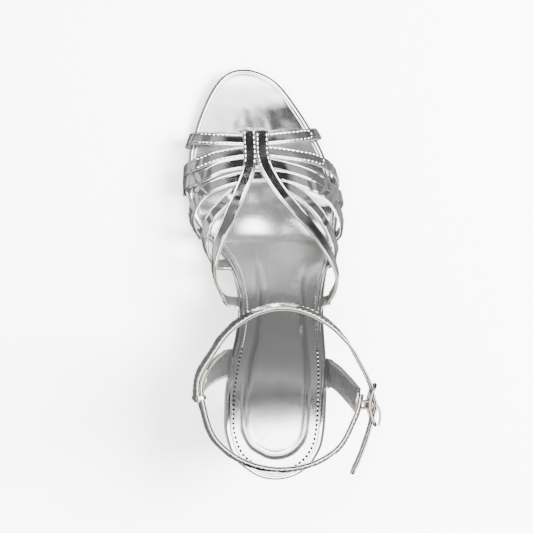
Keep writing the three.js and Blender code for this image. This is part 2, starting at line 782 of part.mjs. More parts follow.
function ankleStations() {
  const points = [];
  for (let turn = strapStartTurn; turn <= strapEndTurn; turn += strapTurnStep) {
    points.push(ringPoint(turn, ankleStrapThickness));
  }
  const flat = (x, y) => new THREE.Vector3(x, y, stripMiddle);
  const tailPoint = (share) => {
    const swing = THREE.MathUtils.degToRad(THREE.MathUtils.lerp(tailSwingAtBar, tailSwingAtTip, share));
    return flat(
      strapUnderBarX - tailTurnIn - tailLength * share * Math.sin(swing),
      rearBarY - tailRun - tailLength * share * Math.cos(swing),
    );
  };
  points.push(
    flat(strapUnderBarX, frontBarY),
    flat((strapUnderBarX + strapOverBarX) / 2, (frontBarY + barY) / 2),
    flat(strapOverBarX, barY),
    flat((strapUnderBarX + strapOverBarX) / 2, (rearBarY + barY) / 2),
    flat(strapUnderBarX, rearBarY),
    tailPoint(0.25),
    tailPoint(0.6),
    tailPoint(1),
  );
  const path = new THREE.CatmullRomCurve3(points, false, 'centripetal');
  const shares = evenly((share) => path.getPoint(share), 2 * ringSpans);
  const centres = shares.map((share) => path.getPoint(share));
  const leanEnd = ringPoint(strapEndTurn, 0).y;
  const leans = centres.map((centre) => {
    const passed = centre.x > ringCentre.x ? (leanEnd - centre.y) / leanFade + 1 : 0;
    return lean * (1 - Math.min(Math.max(passed, 0), 1));
  });
  return uprightStrip(centres, leans, ankleStrapWidth);
}

// Round rod along a curve
function rod(curve, radius, spans, closed) {
  const loops = [];
  const frames = curve.computeFrenetFrames(spans, closed);
  for (let i = 0; i <= spans; i += 1) {
    const centre = curve.getPointAt(i / spans);
    const loop = [];
    for (let side = 0; side < rodSides; side += 1) {
      const turn = (2 * Math.PI * side) / rodSides;
      const point = centre.clone();
      point.addScaledVector(frames.normals[i], radius * Math.cos(turn));
      point.addScaledVector(frames.binormals[i], radius * Math.sin(turn));
      loop.push(point);
    }
    loops.push(loop);
  }
  if (closed) loops[spans] = loops[0].map((point) => point.clone());
  return loft(loops, closed ? () => [] : fanCap);
}

function uprightCylinder(radius, height, x, y, z, sides = cylinderSides) {
  const geometry = new THREE.CylinderGeometry(radius, radius, height, sides);
  geometry.rotateX(Math.PI / 2);
  geometry.translate(x, y, z);
  return geometry;
}

function buckleFrame() {
  const corner = buckleCorner;
  const cornerCut = corner * (1 - Math.SQRT1_2);
  const railX = (y) => {
    const share = Math.abs(y - barY) / (buckleLength / 2 - barRadius);
    return THREE.MathUtils.lerp(barX, endBarX, Math.min(share * share, 1));
  };
  const points = [];
  const add = (y, z) => points.push(new THREE.Vector3(railX(y), y, stripMiddle + z));
  for (const rail of [1, -1]) {
    const first = rail > 0 ? rearBarY : frontBarY;
    const last = rail > 0 ? frontBarY : rearBarY;
    const forward = Math.sign(last - first);
    add(first, rail * (railReach - corner));
    add(first + forward * cornerCut, rail * (railReach - cornerCut));
    add(first + forward * corner, rail * railReach);
    add(barY, rail * railReach);
    add(last - forward * corner, rail * railReach);
    add(last - forward * cornerCut, rail * (railReach - cornerCut));
    add(last, rail * (railReach - corner));
  }
  const loop = new THREE.CatmullRomCurve3(points, true, 'centripetal');
  const frame = rod(loop, barRadius, frameSpans, true);
  const bar = uprightCylinder(barRadius, 2 * railReach, barX, barY, stripMiddle, rodSides);
  return joined([frame, bar]);
}

// Prong: an eye round the middle bar, a stem out through the strap and a tip resting on the rear bar
const prongSlot = prongThickness + 2 * fitGap;
const prongEye = barRadius + fitGap + prongThickness / 2;

function prongShape(grow) {
  const radius = prongThickness / 2 + grow;
  const eye = new THREE.TorusGeometry(prongEye, radius, rodSides, eyeSpans);
  eye.translate(barX, barY, stripMiddle);
  const outX = strapOverBarX + ankleStrapThickness + fitGap + prongThickness / 2;
  const tipX = endBarX + barRadius + fitGap + prongThickness / 2;
  const flat = (x, y) => new THREE.Vector3(x, y, stripMiddle);
  const stem = new THREE.CatmullRomCurve3([
    flat(barX + prongEye, barY),
    flat(outX - prongThickness, barY),
    flat(outX, barY - prongRun),
    flat((outX + tipX) / 2 + prongBow, (barY - prongRun + rearBarY) / 2),
    flat(tipX, rearBarY - barRadius),
  ]);
  return joined([eye, rod(stem, radius, stemSpans, false)]);
}

// Leather loop that holds the middle bar to the band, slotted for the prong
function buckleLoop() {
  const height = ankleStrapWidth - 2 * loopInset;
  const round = uprightCylinder(loopRadius, height, barX, barY, stripMiddle);
  const reach = barX - bandFaceAtBar.x + ankleStrapThickness / 2;
  const tab = new THREE.BoxGeometry(reach, 2 * loopRadius, height);
  tab.translate(barX - reach / 2, barY, stripMiddle);
  const outer = joined([round, tab]);
  const bore = toManifold(uprightCylinder(barRadius + fitGap, 2 * height, barX, barY, stripMiddle));
  const eyeRoom = 2 * (prongEye + prongThickness / 2 + fitGap);
  const slot = new THREE.BoxGeometry(eyeRoom, eyeRoom, prongSlot);
  slot.translate(barX, barY, stripMiddle);
  return outer.subtract(bore).subtract(toManifold(slot));
}

// Keeper: a flat loop round the ankle strap and the band where they overlap on the inner side
const keeperTurn = 263;
function keeperGeometry() {
  const stack = bandSetback(keeperTurn);
  const corner = ringPoint(keeperTurn, stack + fitGap);
  const depth = stack + 2 * fitGap;
  const half = ankleStrapWidth / 2 + fitGap;
  const outline = (grow) => {
    const shape = new THREE.Path();
    shape.moveTo(-grow, -half - grow);
    shape.lineTo(depth + grow, -half - grow);
    shape.lineTo(depth + grow, half + grow);
    shape.lineTo(-grow, half + grow);
    shape.closePath();
    return shape;
  };
  const ring = new THREE.Shape(outline(keeperThickness).getPoints());
  ring.holes.push(outline(0));
  const geometry = new THREE.ExtrudeGeometry(ring, { depth: keeperWidth, bevelEnabled: false });
  geometry.translate(0, 0, -keeperWidth / 2);
  const bend = THREE.MathUtils.degToRad(keeperTurn);
  const radial = new THREE.Vector3(Math.sin(bend), Math.cos(bend), 0);
  const out = radial.clone().multiplyScalar(Math.cos(lean)).add(new THREE.Vector3(0, 0, Math.sin(lean)));
  const along = new THREE.Vector3(-radial.y, radial.x, 0);
  const rise = along.clone().cross(out);
  const basis = new THREE.Matrix4().makeBasis(out, rise, out.clone().cross(rise));
  basis.setPosition(corner);
  geometry.applyMatrix4(basis);
  return geometry;
}

// Assembly
const group = new THREE.Group();
const silver = { color: 0xc9cacb, roughness: 0.12, metalness: 0.95 };
const satin = { color: 0xb9babb, roughness: 0.38, metalness: 0.8 };
const rubber = { color: 0x2b2b2d, roughness: 0.6, metalness: 0.0 };
const soleLeather = { color: 0xb9a68a, roughness: 0.5, metalness: 0.0 };
const metal = { color: 0xb0b0b0, roughness: 0.2, metalness: 1.0 };

function addPiece(name, geometry, look) {
  const mesh = new THREE.Mesh(geometry, new THREE.MeshStandardMaterial(look));
  mesh.name = name;
  group.add(mesh);
}

// The insole has a pocket round the tucked end of every strap
const pocketAngle = 80;
const quarterPocketStations = 6;
const quarterRibbons = Object.values(quarters).map(quarterStations);
const innerEnds = vampRibbons.map((stations) => stations.filter((s) => s.angle < -pocketAngle));
const outerEnds = vampRibbons.map((stations) => stations.filter((s) => s.angle > pocketAngle).reverse());
const vampPockets = [...innerEnds, ...outerEnds].filter((stations) => stations.length > 1);
const quarterPockets = quarterRibbons.map((stations) => stations.slice(0, quarterPocketStations));

const insoleBoard = toManifold(soleLayer({
  inset: 0, top: 0, bottom: insoleThickness, edgeRadius: insoleEdgeRadius,
}));
const pocketed = [...vampPockets, ...quarterPockets].reduce(
  (board, stations) => board.subtract(toManifold(pocket(stations, strapThickness, fitGap))),
  insoleBoard,
);

const wholeOutsole = toManifold(soleLayer({
  inset: outsoleInset,
  top: insoleThickness + fitGap,
  bottom: insoleThickness + fitGap + outsoleThickness,
  edgeRadius: outsoleEdgeRadius,
}));
const behindBreast = new THREE.BoxGeometry(2 * ballWidth, soleLength, 4 * seatHeight);
behindBreast.translate(0, yAt(heelFrontAt) + fitGap - soleLength / 2, 0);

const bandAndQuarters = joined([
  ribbon(bandStations(), ankleStrapThickness),
  ...quarterRibbons.map((stations) => ribbon(stations, strapThickness)),
]).subtract(toManifold(uprightCylinder(barRadius + fitGap, 2 * ankleStrapWidth, barX, barY, stripMiddle)));
const backStrap = bandAndQuarters.add(buckleLoop());
const ankleStrap = toManifold(ribbon(ankleStations(), ankleStrapThickness))
  .subtract(prongShape(prongHoleRoom));

addPiece('outsole', toGeometry(wholeOutsole.subtract(toManifold(behindBreast))), soleLeather);
addPiece('insole', toGeometry(pocketed), silver);
addPiece('sock', soleLayer({
  inset: sockInset, top: -fitGap - sockThickness, bottom: -fitGap, edgeRadius: sockEdgeRadius,
}), satin);
addPiece('heel', heelGeometry(), silver);
addPiece('heel_top_piece', heelPieceGeometry(), rubber);
addPiece('vamp_straps', toGeometry(joined(
  vampRibbons.map((stations) => ribbon(stations, strapThickness)),
)), silver);
addPiece('back_strap', toGeometry(backStrap), silver);
addPiece('ankle_strap', toGeometry(ankleStrap), silver);
addPiece('keeper', keeperGeometry(), silver);
addPiece('buckle_frame', toGeometry(buckleFrame()), metal);
addPiece('buckle_prong', toGeometry(prongShape(0)), metal);

// The origin goes under the middle of the shoe's box
const box = new THREE.Box3().setFromObject(group);
const middle = box.getCenter(new THREE.Vector3());
for (const mesh of group.children) mesh.geometry.translate(-middle.x, -middle.y, -box.min.z);

export default group;
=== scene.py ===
import math

import bmesh
import bpy
import numpy as np
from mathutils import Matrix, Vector


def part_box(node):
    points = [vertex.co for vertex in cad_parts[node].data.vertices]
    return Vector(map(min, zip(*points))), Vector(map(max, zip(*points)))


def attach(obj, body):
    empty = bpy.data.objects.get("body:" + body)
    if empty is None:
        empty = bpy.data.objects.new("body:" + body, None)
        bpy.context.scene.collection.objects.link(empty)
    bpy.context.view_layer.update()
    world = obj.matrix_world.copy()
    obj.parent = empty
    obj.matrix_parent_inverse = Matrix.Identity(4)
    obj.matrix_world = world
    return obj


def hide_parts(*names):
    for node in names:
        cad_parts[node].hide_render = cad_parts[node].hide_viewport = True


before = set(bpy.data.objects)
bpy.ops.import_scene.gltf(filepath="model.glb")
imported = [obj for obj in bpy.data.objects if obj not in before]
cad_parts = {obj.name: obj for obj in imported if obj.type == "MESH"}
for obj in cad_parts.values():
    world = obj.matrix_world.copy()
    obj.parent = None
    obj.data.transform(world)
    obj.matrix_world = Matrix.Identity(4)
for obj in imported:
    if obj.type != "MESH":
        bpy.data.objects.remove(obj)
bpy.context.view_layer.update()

bl_info = {
    "name": "Strappy Heeled Sandal",
    "version": (1, 0, 0),
    "blender": (4, 5, 0),
    "location": "3D View > Sidebar > Sandal",
    "description": "Dresses the right sandal: soles, heel, straps, buckle, stitches and stage",
    "category": "Object",
}

MM = 0.001


# Sizes of the shoe, in millimetres

SOLE_LENGTH = (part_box("insole")[1].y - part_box("insole")[0].y) / MM
BALL_WIDTH = 82.0
SEAT_HEIGHT = 88.0
OUTSOLE_THICKNESS = 2.6
INSOLE_THICKNESS = 4.2
FIT_GAP = 0.3
INSTEP_HEIGHT = 64.0
STRAP_THICKNESS = 1.7
TUCK_DEPTH = 5.0
ANKLE_HEIGHT = 148.0
ANKLE_RADIUS = 41.6
ANKLE_STRAP_WIDTH = 8.5
ANKLE_STRAP_THICKNESS = 1.6
ANKLE_LEAN = math.radians(15)
HEEL_BREAST_DEPTH = 44.0
BREAST_AT = HEEL_BREAST_DEPTH / SOLE_LENGTH
HEEL_TIP_DEPTH, HEEL_TIP_HALF_WIDTH, HEEL_TIP_SETBACK, HEEL_TIP_HEIGHT = 25, 13.5, 8.5, 5.15
SOCK_THICKNESS = 1.3
SOCK_TOP = -FIT_GAP - SOCK_THICKNESS
QUARTER_FOOT_WIDTH, QUARTER_TOP_WIDTH, QUARTER_TOP_DROP = 17.5, 11.5, 2.2
KEEPER_WIDTH, KEEPER_THICKNESS, KEEPER_TURN = 2.0, 0.6, 263.0
STITCH_INSET, FRONT_STITCH_DEPTH, ANKLE_STITCH_DEPTH, LINING_STITCH_HEIGHT = 1.0, 0.02, 0.17, 0.1


def table(names, rows):
    """Columns of a table by name."""
    return dict(zip(names.split(), np.array(rows, float).T))


# Sole outline. at: share of the length from the heel; medial, lateral: shares of the ball width
OUTLINE = table("at medial lateral", [
    (0.000, 0.004, 0.004), (0.007, -0.100, 0.107), (0.019, -0.157, 0.170), (0.047, -0.244, 0.246),
    (0.084, -0.290, 0.295), (0.126, -0.310, 0.315), (0.182, -0.306, 0.328), (0.266, -0.273, 0.339),
    (0.345, -0.223, 0.337), (0.406, -0.205, 0.344), (0.464, -0.222, 0.368), (0.510, -0.274, 0.399),
    (0.546, -0.341, 0.429), (0.583, -0.421, 0.456), (0.639, -0.505, 0.473), (0.706, -0.527, 0.446),
    (0.779, -0.520, 0.388), (0.849, -0.476, 0.295), (0.912, -0.415, 0.187), (0.967, -0.332, 0.065),
    (0.993, -0.249, -0.057), (1.000, -0.156, -0.156),
])

# Footbed. rise: share of the way from the forefoot to the seat height
PROFILE = table("at rise", [
    (0.000, 1.000), (0.126, 0.905), (0.219, 0.796), (0.312, 0.635), (0.406, 0.431), (0.499, 0.225),
    (0.569, 0.0915), (0.629, 0.0185), (0.667, 0.000), (0.800, 0.000), (0.895, 0.020), (0.951, 0.044),
    (1.000, 0.075),
])

# Foot form. arch, level: shares of the instep height; inner, outer: how far it stands out, of the ball width
FORM = table("at arch level inner outer", [
    (0.390, 1.000, 0.200, 0.060, 0.026), (0.435, 0.930, 0.240, 0.088, 0.032),
    (0.470, 0.870, 0.260, 0.107, 0.030), (0.511, 0.800, 0.250, 0.092, 0.018),
    (0.546, 0.745, 0.220, 0.072, 0.016), (0.593, 0.685, 0.180, 0.035, 0.016),
    (0.640, 0.635, 0.150, 0.017, 0.017), (0.710, 0.555, 0.140, 0.017, 0.017),
    (0.780, 0.470, 0.140, 0.016, 0.016), (0.850, 0.390, 0.130, 0.015, 0.015),
])
APEX_SHARE = 0.475
BEND_ANGLE, TUCK_ANGLE = 150.0, 60.0

# Ankle ring. turn: degrees from the front to the outer side; reach: share of the ankle radius
RING = table("turn reach", [
    (-60, 0.918), (0, 0.965), (50, 0.950), (90, 1.000), (125, 0.995), (180, 0.975), (235, 1.000),
    (270, 1.005), (300, 0.918), (360, 0.965),
])
RING_CENTRE_AT, RING_CENTRE_SHARE = 0.234, -0.006


def ramp(value, start, width):
    """0 up to start, 1 from a width further on, straight in between."""
    return np.clip((value - start) / width, 0, 1)


def ease(share):
    """Soft start and end for a share from 0 to 1."""
    return share * share * (3 - 2 * share)


def smooth(columns, key, name):
    """Monotone cubic through a table's columns."""
    x, y = columns[key], columns[name]
    slope = np.diff(y) / np.diff(x)
    inner = slope[:-1] * slope[1:]
    total = np.where(inner > 0, slope[:-1] + slope[1:], 1.0)
    tangent = np.concatenate([slope[:1], np.where(inner > 0, 2 * inner / total, 0.0), slope[-1:]])

    def read(value):
        inside = np.clip(value, x[0], x[-1])
        i = np.clip(np.searchsorted(x, inside, side="right") - 1, 0, len(x) - 2)
        width = x[i + 1] - x[i]
        t = (inside - x[i]) / width
        rise = (1 + 2 * t) * (1 - t) ** 2 * y[i] + t * t * (3 - 2 * t) * y[i + 1]
        return rise + width * t * (1 - t) * ((1 - t) * tangent[i] - t * tangent[i + 1])

    return read


def round_key(at):
    """Angle that stands for a share of the length, so that toe and heel come out round."""
    return np.arccos(1 - 2 * np.clip(at, 0, 1)) / math.pi


OUTLINE["key"] = round_key(OUTLINE["at"])
medial_share = smooth(OUTLINE, "key", "medial")
lateral_share = smooth(OUTLINE, "key", "lateral")
rise_share = smooth(PROFILE, "at", "rise")
arch_share = smooth(FORM, "at", "arch")
level_share = smooth(FORM, "at", "level")
inner_swell = smooth(FORM, "at", "inner")
outer_swell = smooth(FORM, "at", "outer")
reach_share = smooth(RING, "turn", "reach")

FOREFOOT = OUTSOLE_THICKNESS + FIT_GAP + INSOLE_THICKNESS
TIP_CENTRE_X = RING_CENTRE_SHARE * BALL_WIDTH
TIP_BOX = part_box("heel_top_piece")
SHIFT = (TIP_BOX[0].x + TIP_BOX[1].x) / 2 / MM - TIP_CENTRE_X


def y_at(at):
    return (np.asarray(at) - 0.5) * SOLE_LENGTH


def at_y(y):
    return np.asarray(y) / SOLE_LENGTH + 0.5


def medial_edge(at):
    return medial_share(round_key(at)) * BALL_WIDTH


def lateral_edge(at):
    return lateral_share(round_key(at)) * BALL_WIDTH


def footbed(at):
    return FOREFOOT + rise_share(at) * (SEAT_HEIGHT - FOREFOOT)


def sole_height(at, depth):
    """Height of the surface a given depth under the footbed, measured square to its slope."""
    low = np.maximum(np.asarray(at) - 0.002, 0)
    high = np.minimum(np.asarray(at) + 0.002, 1)
    slope = (footbed(high) - footbed(low)) / (y_at(high) - y_at(low))
    return footbed(at) - depth * np.hypot(1, slope)


def unit(vectors):
    return vectors / np.linalg.norm(vectors, axis=-1, keepdims=True)


TUCK_LEVEL = INSOLE_THICKNESS - STRAP_THICKNESS - FIT_GAP / 2


def form_point(angle, at):
    """Points on the foot form, over the top, down the sides and round under the insole's edge."""
    side = np.where(angle < 0, -1.0, 1.0)
    turn = np.abs(angle)
    medial, lateral = medial_edge(at), lateral_edge(at)
    edge = np.where(side < 0, medial, lateral)
    swell = BALL_WIDTH * np.where(side < 0, inner_swell(at), outer_swell(at))
    base, tuck = sole_height(at, 0), sole_height(at, TUCK_LEVEL)
    level = INSTEP_HEIGHT * level_share(at)
    apex = medial + (lateral - medial) * APEX_SHARE
    bend = np.radians(turn)
    x = apex + (edge + side * swell - apex) * np.sin(bend)
    z = base + level + (INSTEP_HEIGHT * arch_share(at) - level) * np.cos(bend)
    down = (turn - 90) / (BEND_ANGLE - 90)
    wall = turn > 90
    x = np.where(wall, edge + side * swell, x)
    z = np.where(wall, base + level + (tuck + swell - base - level) * down, z)
    bend = (math.pi / 2) * (turn - BEND_ANGLE) / (180 - BEND_ANGLE)
    turned = turn > BEND_ANGLE
    x = np.where(turned, edge + side * swell * np.cos(bend), x)
    z = np.where(turned, tuck + swell * (1 - np.sin(bend)), z)
    under = turn > 180
    x = np.where(under, edge - side * TUCK_DEPTH * (turn - 180) / TUCK_ANGLE, x)
    z = np.where(under, tuck, z)
    return np.stack([x, y_at(at), z], -1)


def form_normal(angle, at):
    around = form_point(angle + 1.5, at) - form_point(angle - 1.5, at)
    forward = form_point(angle, at + 0.004) - form_point(angle, at - 0.004)
    return unit(np.cross(around, forward))


def uniform_spline(rows, share):
    """Smooth curve through rows at equal steps of the share."""
    rows = np.asarray(rows, float)
    last = len(rows) - 1
    place = np.clip(share, 0, 1) * last
    i = np.minimum(place.astype(int), last - 1)
    t = (place - i)[:, None]
    p0, p1, p2, p3 = rows[np.maximum(i - 1, 0)], rows[i], rows[i + 1], rows[np.minimum(i + 2, last)]
    v1, v2 = (p2 - p0) / 2, (p3 - p1) / 2
    return (2 * p1 - 2 * p2 + v1 + v2) * t**3 + (3 * p2 - 3 * p1 - 2 * v1 - v2) * t**2 + v1 * t + p1


def centripetal_spline(points, share, closed=False):
    """Smooth curve through points that keeps its tension even between near and far ones."""
    points = np.asarray(points, float)
    if closed:
        padded = np.vstack([points[-1], points, points[:2]])
    else:
        padded = np.vstack([2 * points[0] - points[1], points, 2 * points[-1] - points[-2]])
    spans = len(padded) - 3
    place = np.clip(share, 0, 1) * spans
    i = np.minimum(place.astype(int), spans - 1)
    t = (place - i)[:, None]
    p0, p1, p2, p3 = (padded[i + k] for k in range(4))
    d0, d1, d2 = (np.linalg.norm(b - a, axis=1, keepdims=True) ** 0.5
                  for a, b in ((p0, p1), (p1, p2), (p2, p3)))
    v1 = ((p1 - p0) / d0 - (p2 - p0) / (d0 + d1) + (p2 - p1) / d1) * d1
    v2 = ((p2 - p1) / d1 - (p3 - p1) / (d1 + d2) + (p3 - p2) / d2) * d1
    return (2 * p1 - 2 * p2 + v1 + v2) * t**3 + (3 * p2 - 3 * p1 - 2 * v1 - v2) * t**2 + v1 * t + p1


def even_shares(curve, step):
    """Shares of a curve at equal steps of its length."""
    fine = np.linspace(0, 1, 1601)
    points = curve(fine)
    length = np.concatenate([[0], np.cumsum(np.linalg.norm(np.diff(points, axis=0), axis=1))])
    count = max(int(round(length[-1] / step)), 4)
    return np.interp(np.linspace(0, length[-1], count + 1), length, fine)


class Strip:
    """A strap's run: middle points of its inner face, unit directions and length so far."""

    def __init__(self, centre, across, out, width, angle=None):
        self.centre, self.across, self.out = centre, unit(across), unit(out)
        self.width = np.broadcast_to(np.asarray(width, float), len(centre)).copy()
        steps = np.linalg.norm(np.diff(centre, axis=0), axis=1)
        self.length = np.concatenate([[0], np.cumsum(steps)])
        self.angle = angle

    def line(self, inset, height, keep):
        """Kept points along the strip, a distance in from an edge (negative: from the other edge)."""
        offset = np.sign(inset) * (self.width / 2 - abs(inset))
        return (self.centre + self.across * offset[:, None] + self.out * height)[keep]

    def turned_line(self, inset, height, start, end):
        """Seam along one edge from an angle to another, round, and back along the other edge."""
        first, last = np.interp((start, end), self.angle, self.length)
        half = self.width[len(self.width) // 2] / 2 - inset
        run = np.arange(first, last, 0.4)
        bend = np.linspace(math.pi / 2, -math.pi / 2, 15)
        along = np.concatenate([run, last + half * np.cos(bend), run[::-1]])
        offset = np.concatenate([0 * run + half, half * np.sin(bend), 0 * run - half])
        parts = [np.column_stack([np.interp(along, self.length, field[:, k]) for k in range(3)])
                 for field in (self.centre, self.across, self.out)]
        return parts[0] + parts[1] * offset[:, None] + parts[2] * height


# Front straps, by angle round the foot form, share of the length and lift in thicknesses
CROSS_STRAPS = [
    [(-240, .814), (-185, .814), (-130, .815), (-75, .821), (-33, .814), (0, .811), (26, .818), (53, .827),
     (82, .833), (130, .834), (185, .834), (240, .834)],
    [(-240, .728), (-185, .728), (-130, .731), (-90, .741), (-60, .752), (-32, .771), (0, .782), (33, .772),
     (54, .763), (72, .745), (95, .724), (130, .714), (185, .712), (240, .712)],
    [(-240, .695), (-185, .695), (-130, .698), (-95, .706), (-72, .713), (-49, .722), (-29, .744), (0, .754),
     (26, .737), (42, .719), (56, .696), (78, .675), (130, .664), (185, .662), (240, .662)],
    [(-240, .585), (-185, .585), (-140, .587), (-100, .603), (-77, .630), (-59, .668), (-44, .691),
     (-15, .716), (14, .720), (34, .702), (55, .673), (68, .630), (90, .600), (135, .582), (185, .579),
     (240, .579)],
]
INNER_SHORT = [(-240, .507), (-185, .507), (-150, .511), (-110, .530), (-78, .556), (-57, .596), (-37, .639),
               (-20, .682)]
OUTER_SHORT = [(13, .702, 0), (27, .675, 0), (41, .627, 0), (52, .592, -0.4), (64, .562, -0.9),
               (95, .532, -0.4), (140, .514, 0), (185, .511, 0), (240, .511, 0)]
INNER_ARM = [(-240, .413, 0), (-185, .413, 0), (-155, .424, .5), (-120, .450, .8), (-80, .492, .85),
             (-57, .537, .85), (-31, .607, .85), (-13.5, .694, .85), (-6, .757, 1.0), (-4, .832, .68)]
OUTER_ARM = [(6.8, .832, .68), (4.4, .757, 1.0), (10.5, .694, .85), (24, .619, .85), (43, .548, .85),
             (62, .503, .85), (90, .465, .8), (135, .432, .5), (185, .415, 0), (240, .415, 0)]
# Degrees that each cross or short strap's face is turned forwards where it crosses the foot's top
TILTS = (4.5, 4.0, 0.5, 0.0, 0.0, 0.0)
STRIP_STEP = 0.5
# Smoothing of the way down the sides: angles that it lies between, reach in millimetres, steps, rounds
EASE_FROM, EASE_TO, EASE_REACH, EASE_SPAN, EASE_ROUNDS = 40, 162, 4.5, 40, 2


def eased(points, angle):
    """Evens out a strap's way down the side of the foot; its top and its tucked end stay."""
    down = ramp(np.abs(angle), EASE_FROM, 24) * np.clip((EASE_TO - np.abs(angle)) / 22, 0, 1)
    weights = np.exp(-0.5 * (np.arange(-EASE_SPAN, EASE_SPAN + 1) * STRIP_STEP / EASE_REACH) ** 2)
    weights /= weights.sum()
    for _ in range(EASE_ROUNDS):
        padded = np.pad(points, ((EASE_SPAN, EASE_SPAN), (0, 0)), mode="reflect", reflect_type="odd")
        even = np.stack([np.convolve(padded[:, k], weights, "valid") for k in range(3)], -1)
        points = points + down[:, None] * (even - points)
    return points


def front_strip(rows, width, tilt=0.0):
    """Strip of a front strap along rows of angle, share of the length and lift in thicknesses."""
    rows = np.array([tuple(row) + (0,) * (3 - len(row)) for row in rows], float)

    def place(share):
        angle, at, lift = uniform_spline(rows, share).T
        return form_point(angle, at) + form_normal(angle, at) * (lift * STRAP_THICKNESS)[:, None]

    share = even_shares(place, STRIP_STEP)
    angle, at, _ = uniform_spline(rows, share).T
    centre = eased(place(share), angle)
    along = unit(np.gradient(centre, axis=0))
    across = unit(np.cross(form_normal(angle, at), along))
    out = np.cross(along, across)
    turn = np.radians(tilt) * np.exp(-((angle / 70) ** 2))[:, None] * np.sign(across[:, 1:2])
    across, out = across * np.cos(turn) - out * np.sin(turn), out * np.cos(turn) + across * np.sin(turn)
    strip = Strip(centre, across, out, width, angle)
    strip.at = at
    return strip


# Ankle ring

RING_CENTRE = np.array([TIP_CENTRE_X, float(y_at(RING_CENTRE_AT))])
STRIP_MIDDLE = ANKLE_HEIGHT - (ANKLE_STRAP_WIDTH / 2) * math.cos(ANKLE_LEAN)
LOWER_TO_MIDDLE = (ANKLE_STRAP_WIDTH / 2) * math.sin(ANKLE_LEAN)
UP = np.array([0.0, 0.0, 1.0])


def ring_point(turn, setback):
    """Middle of the ankle strip's outer face at a turn, or of a face a setback inside it."""
    turn = np.asarray(turn, float)
    radius = ANKLE_RADIUS * reach_share(turn % 360) - LOWER_TO_MIDDLE - setback * math.cos(ANKLE_LEAN)
    bend = np.radians(turn)
    return np.stack([
        RING_CENTRE[0] + radius * np.sin(bend),
        RING_CENTRE[1] + radius * np.cos(bend),
        STRIP_MIDDLE - setback * math.sin(ANKLE_LEAN) + 0 * turn,
    ], -1)


def upright_strip(points, leans, width, closed=False):
    """Strip on edge along a level path, leaning inwards by an angle at each point."""
    if closed:
        along = unit(np.roll(points, -1, 0) - np.roll(points, 1, 0))
    else:
        along = unit(np.gradient(points, axis=0))
    level = unit(np.cross(UP, along))
    out = level * np.cos(leans)[:, None] + UP * np.sin(leans)[:, None]
    return Strip(points, np.cross(along, out), out, width)


BAND_OUTER, BAND_INNER = 84.0, 286.0
BAND_START, BAND_END = BAND_OUTER + 11, BAND_INNER - 2
SIDE_STEP = ANKLE_STRAP_THICKNESS + FIT_GAP


def band_setback(turn):
    """How far the band lies inside the ring's outer face: deeper where the ankle strap covers it."""
    from_side = np.minimum(turn - BAND_OUTER, BAND_INNER - turn)
    return ANKLE_STRAP_THICKNESS + SIDE_STEP * (1 - ease(ramp(from_side, 30, 26)))


def band_strip():
    turn = np.linspace(BAND_START, BAND_END, 280)
    points = ring_point(turn, band_setback(turn))
    return upright_strip(points, np.full(len(turn), ANKLE_LEAN), ANKLE_STRAP_WIDTH)


def quarter_strip(side, base_at, top_turn):
    """Strip of a quarter, from its pocket at the seat up to the band."""
    edge = float(medial_edge(base_at) if side < 0 else lateral_edge(base_at))
    y, z = float(y_at(base_at)), float(sole_height(base_at, TUCK_LEVEL))
    top = ring_point(top_turn, band_setback(top_turn) + 1.2)
    top[2] = ANKLE_HEIGHT - QUARTER_TOP_DROP
    top[0] -= side * (ANKLE_STRAP_WIDTH / 2 - QUARTER_TOP_DROP) * math.sin(ANKLE_LEAN)

    def way(rise, out, back):
        return (edge + (top[0] - edge) * out, y + (top[1] - y) * back, z + (top[2] - z) * rise)

    points = [(edge - side * TUCK_DEPTH, y, z), (edge, y, z), way(0.16, 0.22, 0.07),
              way(0.33, 0.42, 0.2), way(0.66, 0.76, 0.6), top]
    share = even_shares(lambda s: centripetal_spline(points, s), 0.6)
    centre = centripetal_spline(points, share)
    along = unit(np.gradient(centre, axis=0))
    slope = np.array([0, float(y_at(base_at + .01) - y_at(base_at - .01)),
                      float(sole_height(base_at + .01, 0) - sole_height(base_at - .01, 0))])
    ring_along = unit(ring_point(top_turn - 4, 0) - ring_point(top_turn + 4, 0))
    ring_along = ring_along * np.sign(ring_along[1])
    blend = np.clip((centre[:, 2] - z) / (top[2] - z), 0, 1)[:, None]
    across = unit(unit(slope) * (1 - blend) + ring_along * blend)
    out = unit(np.cross(along, across)) * -side
    width = QUARTER_FOOT_WIDTH + (QUARTER_TOP_WIDTH - QUARTER_FOOT_WIDTH) * np.sqrt(blend[:, 0])
    return Strip(centre, across * side, out, width)


# Buckle

BUCKLE_LENGTH, BUCKLE_WIRE, BUCKLE_ROOM = 20.2, 1.6, 0.8
BAR_RADIUS = BUCKLE_WIRE / 2
BAR_TURN = 102.0
BAND_FACE = ring_point(BAR_TURN, band_setback(BAR_TURN) - ANKLE_STRAP_THICKNESS)
LOOP_RADIUS = BAR_RADIUS + FIT_GAP + 0.9
BAR_X, BAR_Y = BAND_FACE[0] + LOOP_RADIUS + 1.4, BAND_FACE[1]
OVER_BAR_X = BAR_X + LOOP_RADIUS + FIT_GAP
FRONT_BAR_Y = BAR_Y + BUCKLE_LENGTH / 2 - BAR_RADIUS
REAR_BAR_Y = BAR_Y - BUCKLE_LENGTH / 2 + BAR_RADIUS
END_BAR_X = BAR_X + ANKLE_STRAP_THICKNESS + 2 * FIT_GAP + BAR_RADIUS
RAIL_REACH = ANKLE_STRAP_WIDTH / 2 + BUCKLE_ROOM + BAR_RADIUS
TAIL_LENGTH, TIP_LENGTH = 23.0, 4.2


